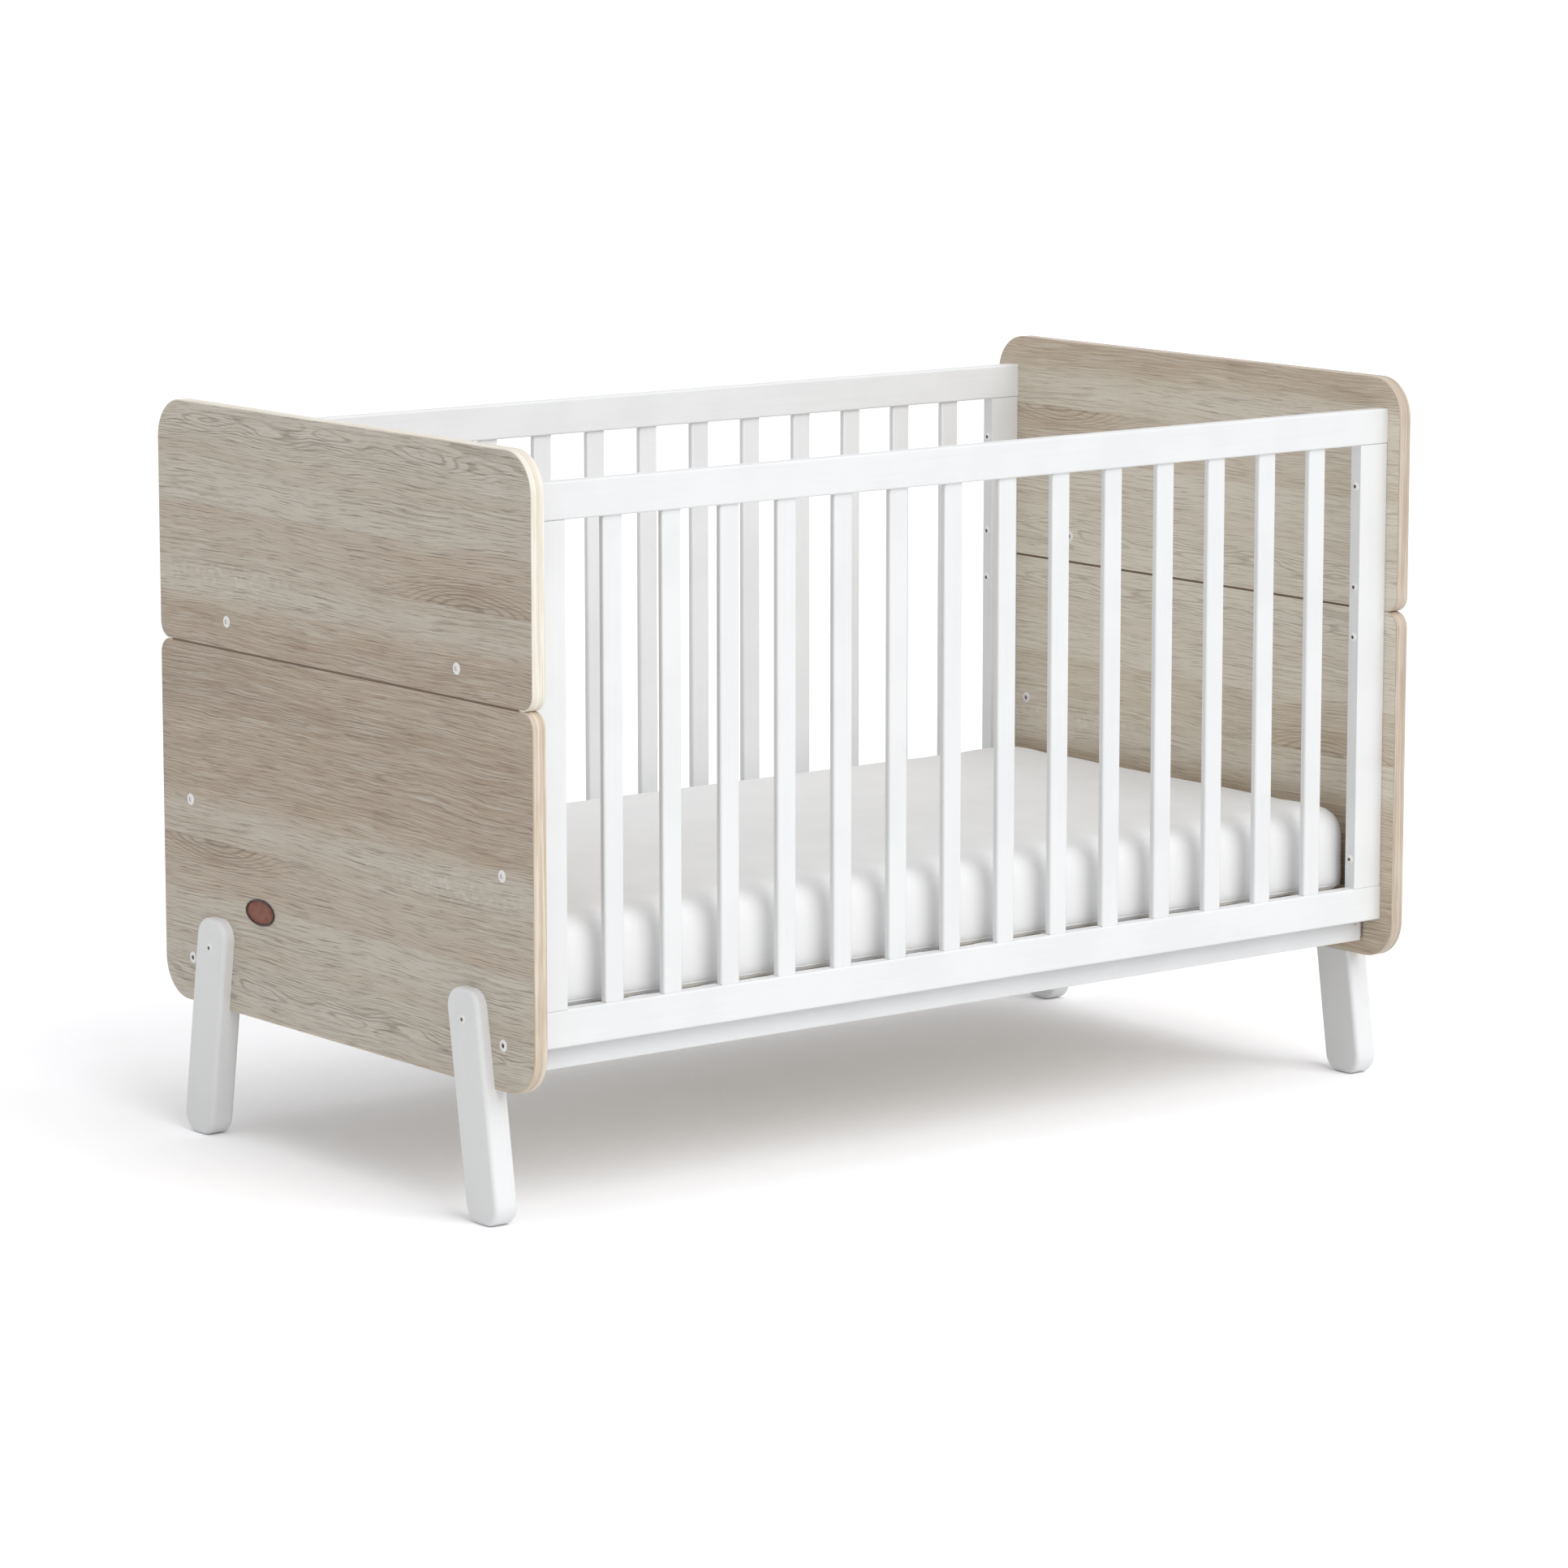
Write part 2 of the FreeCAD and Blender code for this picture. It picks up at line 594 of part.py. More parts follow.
def make_base():
    """Base rails, cross rails, slats, hook plates and their screws."""
    slat_screw_bores = Part.makeCompound([
        turned(countersunk_bore(slat_screw_length), Vector(0, 0, 1), place) for place in slat_screw_places()
    ])
    corner_places = []
    hook_places = []
    for end in ends:
        for side in sides:
            corner_places += [(place, Vector(0, side, 0)) for place in corner_screw_places(end, side)]
            hook_places += [(place, Vector(end, 0, 0)) for place in hook_screw_places(end, side)]
    bores = Part.makeCompound(
        [turned(countersunk_bore(corner_screw_length), out, place) for place, out in corner_places]
        + [turned(countersunk_bore(hook_screw_length), out, place) for place, out in hook_places]
    )
    for side in sides:
        rail = rounded_bar(
            -base_end_x, base_end_x, side * base_outer_y, side * (base_outer_y - base_rail_thickness),
            base_bottom, base_top, Vector(1, 0, 0), base_arris,
        )
        save("base_%s_rail" % side_names[side], rail.cut(slat_screw_bores).cut(bores))
    cross_y = base_outer_y - base_rail_thickness
    for end in ends:
        rail = rounded_bar(
            end * base_end_x, end * (base_end_x - base_rail_thickness), -cross_y, cross_y,
            base_bottom, base_top, Vector(0, 1, 0), base_arris,
        )
        save("base_%s_cross_rail" % end_names[end], rail.cut(bores))
    slats = [
        rounded_bar(x - base_slat_width / 2, x + base_slat_width / 2, -base_outer_y, base_outer_y,
                    base_top, slat_bed_top, Vector(0, 1, 0), base_slat_arris).cut(slat_screw_bores)
        for x in base_slat_centres()
    ]
    save("base_slats", slats)
    save("base_hook_plates", [make_hook_plate(end, side) for end in ends for side in sides])
    slat_screw = countersunk_screw(slat_screw_length)
    save("base_slat_screws", [turned(slat_screw, Vector(0, 0, 1), place) for place in slat_screw_places()])
    save("base_corner_screws",
         [turned(countersunk_screw(corner_screw_length), out, place) for place, out in corner_places])
    save("base_hook_screws",
         [turned(countersunk_screw(hook_screw_length), out, place) for place, out in hook_places])


# ---------------------------------------------------------------- mattress
def padded_block(shrink):
    """Rounded block of the mattress, made smaller all round by a distance."""
    half_x = inner_x - mattress_gap - shrink
    half_y = frame_inner_y - mattress_gap - shrink
    z0 = slat_bed_top + moving_clearance + shrink
    z1 = slat_bed_top + moving_clearance + mattress_thickness - shrink
    corner_radius = mattress_corner_radius - shrink
    block = rounded_bar(-half_x, half_x, -half_y, half_y, z0, z1, Vector(0, 0, 1), corner_radius)
    rims = [e for e in block.Edges if abs(e.BoundBox.ZMin - e.BoundBox.ZMax) < 1e-6]
    return block.makeFillet(mattress_arris - shrink, rims)


def make_mattress():
    """Foam core, and the closed cover round it."""
    save("mattress_cover", padded_block(0).cut(padded_block(cover_thickness)))
    save("mattress_core", padded_block(cover_thickness + moving_clearance))


# ---------------------------------------------------------------- badge
def oval(length, height, depth):
    """Oval plate standing off the outer face of the left end."""
    centre = Vector(-outer_x, half_width - badge_inset, panel_bottom + badge_rise)
    long_tip = centre + Vector(0, length / 2, 0)
    high_tip = centre + Vector(0, 0, height / 2)
    edge = Part.Ellipse(long_tip, high_tip, centre).toShape()
    return Part.Face(Part.Wire([edge])).extrude(Vector(-depth, 0, 0))


def make_badge():
    """Bare plate, and the rim round it."""
    inner_length = badge_length - 2 * badge_rim_width
    inner_height = badge_height - 2 * badge_rim_width
    opening = oval(inner_length, inner_height, badge_rim_thickness)
    rim = oval(badge_length, badge_height, badge_rim_thickness).cut(opening)
    save("badge_rim", rim)
    save("badge_plate", oval(
        inner_length - 2 * bore_clearance, inner_height - 2 * bore_clearance, badge_plate_thickness
    ))


os.makedirs("parts", exist_ok=True)
make_ends()
for frame_side in sides:
    make_side_frame(frame_side)
make_frame_fasteners()
make_panel_fasteners()
for leg_end in ends:
    for leg_side in sides:
        make_leg(leg_end, leg_side)
make_base()
make_mattress()
make_badge()
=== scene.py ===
# %% [markdown]
# # A baby crib, finished around its CAD frame
# The crib is already built as CAD parts: boards, rails, bolts and a plain block for the mattress.
# This lesson gives it its looks. The CAD parts are loaded first and never move, and everything that
# is made here takes its place from them, so nothing has to be fitted by eye.

# %% Load the frame
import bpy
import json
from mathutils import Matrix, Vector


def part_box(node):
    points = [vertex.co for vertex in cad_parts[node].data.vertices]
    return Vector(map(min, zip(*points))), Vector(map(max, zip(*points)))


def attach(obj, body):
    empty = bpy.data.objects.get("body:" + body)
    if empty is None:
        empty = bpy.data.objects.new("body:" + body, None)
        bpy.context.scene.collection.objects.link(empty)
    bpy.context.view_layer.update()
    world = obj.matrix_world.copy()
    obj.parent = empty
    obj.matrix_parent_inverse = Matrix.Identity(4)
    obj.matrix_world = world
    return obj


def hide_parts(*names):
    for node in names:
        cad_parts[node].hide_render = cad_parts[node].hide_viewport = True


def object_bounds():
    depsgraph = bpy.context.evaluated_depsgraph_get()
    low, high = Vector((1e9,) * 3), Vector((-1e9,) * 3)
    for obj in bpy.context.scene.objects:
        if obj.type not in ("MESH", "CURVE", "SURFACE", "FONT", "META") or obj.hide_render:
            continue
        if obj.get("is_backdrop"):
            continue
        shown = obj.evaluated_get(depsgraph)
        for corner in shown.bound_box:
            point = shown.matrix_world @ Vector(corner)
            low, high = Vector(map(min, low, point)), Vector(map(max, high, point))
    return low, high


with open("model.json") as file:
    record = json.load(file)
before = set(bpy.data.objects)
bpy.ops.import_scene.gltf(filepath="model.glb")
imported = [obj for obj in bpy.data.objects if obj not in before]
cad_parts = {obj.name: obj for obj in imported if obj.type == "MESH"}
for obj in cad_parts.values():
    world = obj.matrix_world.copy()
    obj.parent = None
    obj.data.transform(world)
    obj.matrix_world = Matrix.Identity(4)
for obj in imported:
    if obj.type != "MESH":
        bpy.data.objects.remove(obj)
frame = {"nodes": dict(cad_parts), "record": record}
cad_low, cad_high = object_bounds()

# %% Modules used below
import json
import math

import bmesh
import bpy
import numpy as np
from mathutils import Vector

MM = 0.001
scene = bpy.context.scene


def add_object(name, data):
    """A new object in the scene."""
    made = bpy.data.objects.new(name, data)
    scene.collection.objects.link(made)
    return made


print("overall size in mm:", [round(side / MM) for side in cad_high - cad_low])

# %% [markdown]
# ## Reading places from the CAD parts
# One CAD node can hold many equal solids, such as fourteen slats. The mesh arrives as loose triangles,
# so a copy is merged at its corners and walked from corner to corner: what hangs together is one solid.
# The box of each solid then says where it is, and no place has to be typed in twice.

# %% Boxes of the solids in a node
def solids(node):
    """Lowest and highest corner of each separate solid in a CAD node, ordered along X, Y and Z."""
    mesh = bmesh.new()
    mesh.from_mesh(frame["nodes"][node].data)
    bmesh.ops.remove_doubles(mesh, verts=mesh.verts, dist=0.01 * MM)
    waiting = set(mesh.verts)
    boxes = []
    while waiting:
        island = [waiting.pop()]
        for vert in island:
            near = {edge.other_vert(vert) for edge in vert.link_edges} & waiting
            waiting -= near
            island.extend(near)
        low = Vector([min(vert.co[axis] for vert in island) for axis in range(3)])
        high = Vector([max(vert.co[axis] for vert in island) for axis in range(3)])
        boxes.append((low, high))
    mesh.free()
    return sorted(boxes, key=lambda box: [round(value, 5) for value in box[0]])


slat_boxes = solids("front_slats")
slat_size = slat_boxes[0][1] - slat_boxes[0][0]
print(len(slat_boxes), "slats on the front, each", [round(side / MM, 1) for side in slat_size], "mm")

# %% [markdown]
# ## Building node trees in code
# Materials and Geometry Nodes are both trees. A small helper makes one node, sets its options and
# fills its sockets, each with a value or with a link from another node. A tree then reads from top
# to bottom like a recipe, which is easier to follow than a long list of separate links.

# %% Helpers for trees
def node(tree, kind, inputs=None, **options):
    """Adds a node: options are its own settings, inputs its sockets, by name or number."""
    made = tree.nodes.new(kind)
    for key, value in options.items():
        setattr(made, key, value)
    for key, value in (inputs or {}).items():
        if isinstance(value, bpy.types.NodeSocket):
            tree.links.new(value, made.inputs[key])
        else:
            made.inputs[key].default_value = value
    return made


def calc(tree, operation, first, second=0.0, third=0.0):
    """Output of a Math node."""
    return node(tree, "ShaderNodeMath", {0: first, 1: second, 2: third}, operation=operation).outputs[0]


def total(tree, *values):
    """Sum of several values or sockets."""
    result = values[0]
    for value in values[1:]:
        result = calc(tree, "ADD", result, value)
    return result


def product(tree, *values):
    """Product of several values or sockets."""
    result = values[0]
    for value in values[1:]:
        result = calc(tree, "MULTIPLY", result, value)
    return result


print("sums and products ready")

# %% Helpers for patterns and colours
def noise(tree, place, scale=1.0, detail=2.0, roughness=0.5):
    """Value of a noise texture at a place, around 0.5."""
    values = {"Vector": place, "Scale": scale, "Detail": detail, "Roughness": roughness}
    return node(tree, "ShaderNodeTexNoise", values).outputs["Fac"]


def spread(tree, value, low, high, to_low=0.0, to_high=1.0):
    """Stretches low..high of a value to another range, with soft ends."""
    values = {"Value": value, "From Min": low, "From Max": high, "To Min": to_low, "To Max": to_high}
    return node(tree, "ShaderNodeMapRange", values, interpolation_type="SMOOTHSTEP").outputs[0]


def blend_colours(tree, factor, first, second, mode="MIX"):
    """Mixes two colours, each given as red, green, blue, or as a socket."""
    made = node(tree, "ShaderNodeMix", {0: factor}, data_type="RGBA", blend_type=mode)
    for place, colour in ((6, first), (7, second)):
        if isinstance(colour, bpy.types.NodeSocket):
            tree.links.new(colour, made.inputs[place])
        else:
            made.inputs[place].default_value = (*colour, 1)
    return made.outputs[2]


print("pattern helpers ready")

# %% Helpers for materials
def srgb(red, green, blue):
    """A colour as a paint chart gives it, 0 to 255, turned into the linear light that shaders use."""
    return tuple(((c / 255 + 0.055) / 1.055) ** 2.4 for c in (red, green, blue))


def new_material(name, **settings):
    """An empty material with its main shader. Settings are constants on the shader's own sockets."""
    material = bpy.data.materials.new(name)
    material.use_nodes = True
    tree = material.node_tree
    shader = next(n for n in tree.nodes if n.type == "BSDF_PRINCIPLED")
    for key, value in settings.items():
        shader.inputs[key.replace("_", " ").title().replace("Ior", "IOR")].default_value = value
    return material, tree, shader


def axis_scale(axis, lengthwise, crosswise):
    """Scale for a pattern along axis 0, 1 or 2: so many bumps a metre along it, and so many across."""
    return [lengthwise if number == axis else crosswise for number in range(3)]


def stretched(tree, scale, shift=(0, 0, 0)):
    """The piece's own coordinates in metres, scaled by axis so that a pattern runs along it, then shifted."""
    own = node(tree, "ShaderNodeTexCoord").outputs["Object"]
    values = {"Vector": own, "Location": shift, "Scale": scale}
    return node(tree, "ShaderNodeMapping", values).outputs[0]


def dress(tree, shader, colour, height, depth, strength, roughness=None):
    """Ends a material: its colour, a bump from a height from 0 to 1, depth metres deep, and a roughness."""
    tree.links.new(colour, shader.inputs["Base Color"])
    if roughness is not None:
        tree.links.new(roughness, shader.inputs["Roughness"])
    values = {"Height": height, "Distance": depth, "Strength": strength}
    tree.links.new(node(tree, "ShaderNodeBump", values).outputs[0], shader.inputs["Normal"])


print("material helpers ready")

# %% [markdown]
# ## Camera, floor and light
# The camera looks at the front left corner from a little above, from far away and with a long lens, so
# that upright edges stay nearly parallel. It aims just below the middle of the crib, and has no shift,
# so that it can also be carried round the crib.

# %% Camera
VIEW_TURN = math.radians(-37.84)      # to the left of the front
VIEW_RISE = math.radians(9.56)        # above the horizon
VIEW_DISTANCE = 7.630
VIEW_LENS = 139.09                    # mm, with a sensor 36 mm wide
VIEW_AIM = (cad_low + cad_high) / 2 + Vector((-0.0134, 0.0007, -0.0455))

reach = math.cos(VIEW_RISE)
toward_camera = Vector((math.sin(VIEW_TURN) * reach, -math.cos(VIEW_TURN) * reach, math.sin(VIEW_RISE)))
camera = add_object("camera", bpy.data.cameras.new("camera"))
camera.data.lens = VIEW_LENS
camera.data.sensor_width = 36
camera.data.clip_end = 200
camera.location = VIEW_AIM + toward_camera * VIEW_DISTANCE
camera.rotation_mode = "QUATERNION"
camera.rotation_quaternion = (-toward_camera).to_track_quat("-Z", "Y")
scene.camera = camera
print("camera stands at", [round(value, 3) for value in camera.location])

# %% [markdown]
# The studio stands on a wide pale floor. To the eye the floor is a little brighter than white, so it reads
# as a plain white ground and still shows the shadow, while the crib itself is lit by an ordinary pale
# floor. The Light Path node tells the two apart, so no extra lamp has to wash the ground out.

# %% Floor
def straight_ray(tree):
    """1 for rays that show the studio itself: from the camera, in a mirror and through glass."""
    path = node(tree, "ShaderNodeLightPath").outputs
    seen = calc(tree, "MAXIMUM", path["Is Camera Ray"], path["Is Glossy Ray"])
    return calc(tree, "MAXIMUM", seen, path["Is Transmission Ray"])


def pale_floor():
    """Floor that bounces light like pale board, and shows a touch brighter, with a soft shadow."""
    material, tree, shader = new_material("pale_floor", roughness=0.9, specular_ior_level=0.0)
    grain = spread(tree, noise(tree, stretched(tree, (1, 1, 1)), 6.0, 4.0), 0.2, 0.8)
    shown = blend_colours(tree, grain, (1.23, 1.23, 1.25), (1.25, 1.25, 1.27))
    colour = blend_colours(tree, straight_ray(tree), (0.88, 0.88, 0.88), shown)
    tree.links.new(colour, shader.inputs["Base Color"])
    return material


FLOOR_RADIUS = 60.0
outline = bmesh.new()
bmesh.ops.create_circle(outline, cap_ends=True, radius=FLOOR_RADIUS, segments=96)
floor = add_object("floor", bpy.data.meshes.new("floor"))
outline.to_mesh(floor.data)
outline.free()
floor.data.materials.append(pale_floor())
floor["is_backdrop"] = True
print("floor radius", FLOOR_RADIUS, "m, at height", round(cad_low.z, 4))

# %% [markdown]
# An even white sky lights the crib from all round. The level is plain: a white surface that faces the light
# squarely comes out white, so every finish shows in its own colour. Two very soft suns do the shaping,
# because suns light the whole floor evenly. The key comes from the front, rather low: the front is bright,
# and some light reaches under the crib. The other stands overhead and drops the shadow straight down.

# %% Sky and suns
SKY_LEVEL = 0.57


def white_sky():
    """Even sky: plain white to the eye, and a softer light on the crib."""
    world = bpy.data.worlds.new("white_sky")
    world.use_nodes = True
    tree = world.node_tree
    level = spread(tree, straight_ray(tree), 0.0, 1.0, SKY_LEVEL, 1.0)
    background = next(n for n in tree.nodes if n.type == "BACKGROUND")
    background.inputs["Color"].default_value = (1, 1, 1, 1)
    tree.links.new(level, background.inputs["Strength"])
    return world


def soft_sun(name, level, turn, rise, width):
    """Sun that lights a surface facing it to a level. Its turn, its rise and its width are in degrees."""
    lamp = add_object(name, bpy.data.lights.new(name, "SUN"))
    lamp.data.energy = level * math.pi
    lamp.data.angle = math.radians(width)
    lamp.rotation_euler = (math.radians(90 - rise), 0, math.radians(turn))


scene.world = white_sky()
soft_sun("key", level=0.48, turn=6, rise=38, width=50)
soft_sun("overhead", level=0.09, turn=0, rise=86, width=60)
scene.view_settings.view_transform = "Standard"
print("sky level", SKY_LEVEL, "and two suns")

# %% [markdown]
# ## Oak decor of the end boards
# The ends are board with a printed oak sheet on both faces. A printed decor is a picture of real planks,
# so it is built the way planks look: growth rings that drift and close into loops, short dark pores that
# follow them, broad bands of greyer and browner wood, and pale flecks beside a plank's edge.
# A picture would be simpler, but it would blur up close. Here every mark is worked out from the place
# on the sheet, so it stays sharp and never repeats.
#
# First come the sheet's own directions. `along` runs with the grain, and `across` is the height above
# one plank's edge. The boards are cut from one decor, some of them turned upside down, and a board's far
# face is its near face turned round, so both directions take the same sign.

# %% Places on the oak sheet
class OakSheet:
    """Places, noises and soft spots on the sheet that covers a board."""

    def __init__(self, tree, edge_height, board_middle, turned):
        self.tree = tree
        own = node(tree, "ShaderNodeSeparateXYZ", {0: stretched(tree, (1, 1, 1))}).outputs
        face = calc(tree, "SIGN", calc(tree, "SUBTRACT", board_middle, own["X"]))
        turn = product(tree, face, turned)
        self.along = product(tree, own["Y"], turn)
        self.across = product(tree, calc(tree, "SUBTRACT", own["Z"], edge_height), turn)
        self.grain = self.across

    def noise(self, along_scale, across_scale, layer, detail=2.0, roughness=0.5, straight=False):
        """Noise around 0.5, with so many bumps a metre each way. It follows the grain unless straight."""
        tree = self.tree
        run = product(tree, self.along, along_scale)
        rise = product(tree, self.across if straight else self.grain, across_scale)
        place = node(tree, "ShaderNodeCombineXYZ", {0: run, 1: rise, 2: layer}).outputs[0]
        return noise(tree, place, 1.0, detail, roughness)

    def swing(self, size, *settings, **options):
        """The same noise, as a swing of about that size to both sides of 0."""
        return product(self.tree, calc(self.tree, "SUBTRACT", self.noise(*settings, **options), 0.5), size)

    def spot(self, along, across, half_length, half_width):
        """1 at a place on the sheet, falling softly to 0 around it."""
        tree = self.tree
        run = calc(tree, "DIVIDE", calc(tree, "SUBTRACT", self.along, along), half_length)
        rise = calc(tree, "DIVIDE", calc(tree, "SUBTRACT", self.across, across), half_width)
        distance = total(tree, product(tree, run, run), product(tree, rise, rise))
        return calc(tree, "EXPONENT", product(tree, distance, -1.0))

    def zone(self, low, high, blur=0.0005):
        """1 between two heights on the sheet, with edges as soft as blur."""
        start = spread(self.tree, self.across, low - blur, low + blur)
        return product(self.tree, start, spread(self.tree, self.across, high - blur, high + blur, 1.0, 0.0))


print("oak sheet ready")

# %% [markdown]
# The rings come from one rising value. Where it is simply the height, its waves are straight lines. Where
# a broad noise is added, they bend, and where the noise wins, they close into the loops and the pointed
# arch that a saw leaves when it runs along the side of a trunk.

# %% Growth rings
FAR = 1.0                             # further than any board reaches


def oak_rings(tree, sheet):
    """Lines of the growth rings, from 0 to 1. They show most in the loops and in the arch."""
    arch = product(tree, sheet.spot(-0.27, 0.0, 0.13, 0.036), sheet.zone(0.0, FAR))
    faint_loops = product(tree, sheet.spot(0.1, -0.13, 0.4, 0.02), 0.4)
    loops = total(tree, sheet.spot(0.0, 0.165, 0.80, 0.020), faint_loops)
    rise = total(
        tree, product(tree, sheet.grain, calc(tree, "SUBTRACT", 150.0, product(tree, arch, 90.0))),
        product(tree, arch, -6.0),
        product(tree, sheet.noise(8, 36, 1.0, 1.0, straight=True), loops, 9.0), sheet.swing(1.0, 7, 70, 2.0),
    )
    wave = calc(tree, "SINE", product(tree, rise, 2 * math.pi))
    patchy = spread(tree, sheet.noise(3, 30, 3.0), 0.50, 0.68)
    strength = calc(tree, "MAXIMUM", product(tree, patchy, 0.6), total(tree, loops, product(tree, arch, 1.5)))
    return product(tree, spread(tree, wave, 0.2, 1.0), calc(tree, "MINIMUM", strength, 1.0))


print("growth rings ready")

# %% [markdown]
# The wood's tone is a second value, which slides between three colours. It steps at the planks' edges,
# warms up inside the arch, and drifts slowly from plank to plank.

# %% Tone of the wood
def oak_tone(tree, sheet):
    """How brown the wood is, from 0 for grey, over 1 for tan, to 2 for brown."""
    arch = product(tree, sheet.spot(-0.29, 0.0, 0.14, 0.032), sheet.zone(0.0, FAR))
    return total(
        tree, 0.04, product(tree, sheet.zone(0.0, 0.068, 0.0008), 0.45),
        product(tree, sheet.zone(-FAR, -0.050, 0.014), 1.1), product(tree, sheet.zone(-FAR, 0.0), 0.12),
        product(tree, arch, 1.2), sheet.swing(2.4, 0.8, 14, 4.0, 3.0, 0.5),
        sheet.swing(0.7, 1.6, 80, 5.0, 3.0, 0.6), sheet.swing(0.8, 5, 620, 6.0),
    )


print("the tone runs from 0 for grey to 2 for brown")

# %% [markdown]
# Now the sheet's finish. The grain is given its slow bends first, so that all that follows it bends alike.
# The colour is built from the ground up, as a decor printer lays the inks: the wood's tone, then pale
# fibres, dark marks, and the flecks beside the plank's edge. Fibres and pores are also felt, as relief.

# %% Oak finish
OAK_GREY = srgb(205, 198, 185)
OAK_TAN = srgb(181, 163, 143)
OAK_BROWN = srgb(158, 138, 118)
OAK_MARK = srgb(122, 103, 86)
OAK_FLECK = srgb(216, 211, 201)


def oak_decor(name, board_middle, edge_height, turned, painted_light, greyer, ink):
    """Oak sheet with a plank's edge at a height, upside down where turned is -1, from one print run. Light is
    painted in by a colour factor.
    """
    material, tree, shader = new_material(name, roughness=0.5, specular_ior_level=0.42)
    sheet = OakSheet(tree, edge_height, board_middle, turned)
    drift = total(tree, sheet.swing(0.040, 2.0, 4, 7.0), sheet.swing(0.006, 8, 20, 8.0))
    sheet.grain = total(tree, sheet.across, drift, sheet.swing(0.0030, 32, 60, 13.0))

    tone = calc(tree, "SUBTRACT", oak_tone(tree, sheet), greyer)
    colour = blend_colours(tree, spread(tree, tone, -0.7, 1.2), OAK_GREY, OAK_TAN)
    colour = blend_colours(tree, spread(tree, tone, 0.9, 2.0), colour, OAK_BROWN)

    fibre = sheet.noise(8, 700, 9.0, 3.0, 0.6)
    pores = spread(tree, sheet.noise(16, 640, 10.0, 2.0, 0.6), 0.54, 0.64)
    hairlines = spread(tree, sheet.noise(6, 380, 11.0, 3.0, 0.65), 0.56, 0.67)
    crack_shows = spread(tree, sheet.noise(6, 20, 16.0), 0.45, 0.65)
    crack = product(tree, sheet.zone(-0.001, 0.001, 0.001), crack_shows)
    marks = total(
        tree, product(tree, oak_rings(tree, sheet), 0.48), product(tree, pores, 0.54),
        product(tree, hairlines, 0.38), product(tree, crack, 0.5),
    )
    colour = blend_colours(tree, spread(tree, fibre, 0.40, 0.68, 0.0, 0.58), colour, OAK_FLECK)
    covered = product(tree, calc(tree, "MINIMUM", marks, 0.75), ink)
    colour = blend_colours(tree, covered, colour, OAK_MARK)

    beside_edge = product(tree, sheet.spot(0.24, -0.016, 0.16, 0.018), sheet.zone(-FAR, 0.0))
    flecks = spread(tree, sheet.noise(75, 110, 12.0, 3.0, straight=True), 0.48, 0.64)
    colour = blend_colours(tree, product(tree, beside_edge, flecks, 0.5), colour, OAK_FLECK)
    # Painted light: the colour is multiplied by a factor, above 1 on the right end, that makes it lighter as
    # more light would.
    colour = blend_colours(tree, 1.0, colour, painted_light, "MULTIPLY")

    felt = calc(tree, "SUBTRACT", product(tree, fibre, 0.4), pores)
    dress(tree, shader, colour, felt, 0.10 * MM, 0.5)
    return material


print("oak finish ready")

# %% [markdown]
# All four boards are cut from this one decor, at different places, so they match but don't repeat. The right
# end is greyer, with lighter ink in its marks, and paler because extra light is painted into its colour. The
# CAD solids keep their shape and only take the material.

# %% Boards
def node_middle(name):
    """Middle of a CAD node's box."""
    low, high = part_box(name)
    return (low + high) / 2


def paint_node(name, material):
    """Gives a CAD node's object one material."""
    slots = frame["nodes"][name].data.materials
    slots.clear()
    slots.append(material)


LEFT_RUN = {"painted_light": (1.0, 1.0, 1.0), "greyer": 0.0, "ink": 1.0}
# The right end's factor above 1 is painted light; its greyer tone and lighter ink are its decor.
RIGHT_RUN_PAINTED_LIGHTER = {"painted_light": (1.23, 1.24, 1.22), "greyer": 0.25, "ink": 0.75}
BOARDS = {                            # height of the plank edge, 1 or -1 for upside down, and print run
    "left_upper_panel": (0.717, 1, LEFT_RUN),
    "left_lower_panel": (0.370, -1, LEFT_RUN),
    "right_upper_panel": (0.820, -1, RIGHT_RUN_PAINTED_LIGHTER),
    "right_lower_panel": (0.413, 1, RIGHT_RUN_PAINTED_LIGHTER),
}
for board, (edge_height, turned, run) in BOARDS.items():
    paint_node(board, oak_decor(board + "_oak", node_middle(board).x, edge_height, turned, **run))
print("oak decor on", len(BOARDS), "boards")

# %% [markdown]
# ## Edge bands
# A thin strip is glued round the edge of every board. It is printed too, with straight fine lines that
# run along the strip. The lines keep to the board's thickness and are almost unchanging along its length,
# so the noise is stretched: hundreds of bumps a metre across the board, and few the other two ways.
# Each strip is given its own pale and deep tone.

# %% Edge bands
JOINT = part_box("left_lower_edge_band")[1].z       # height at which the boards of an end meet
JOINT_CORNER = 22 * MM                # the joint opens into round corners this far from its ends
CORNER_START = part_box("left_lower_edge_band")[1].y - JOINT_CORNER


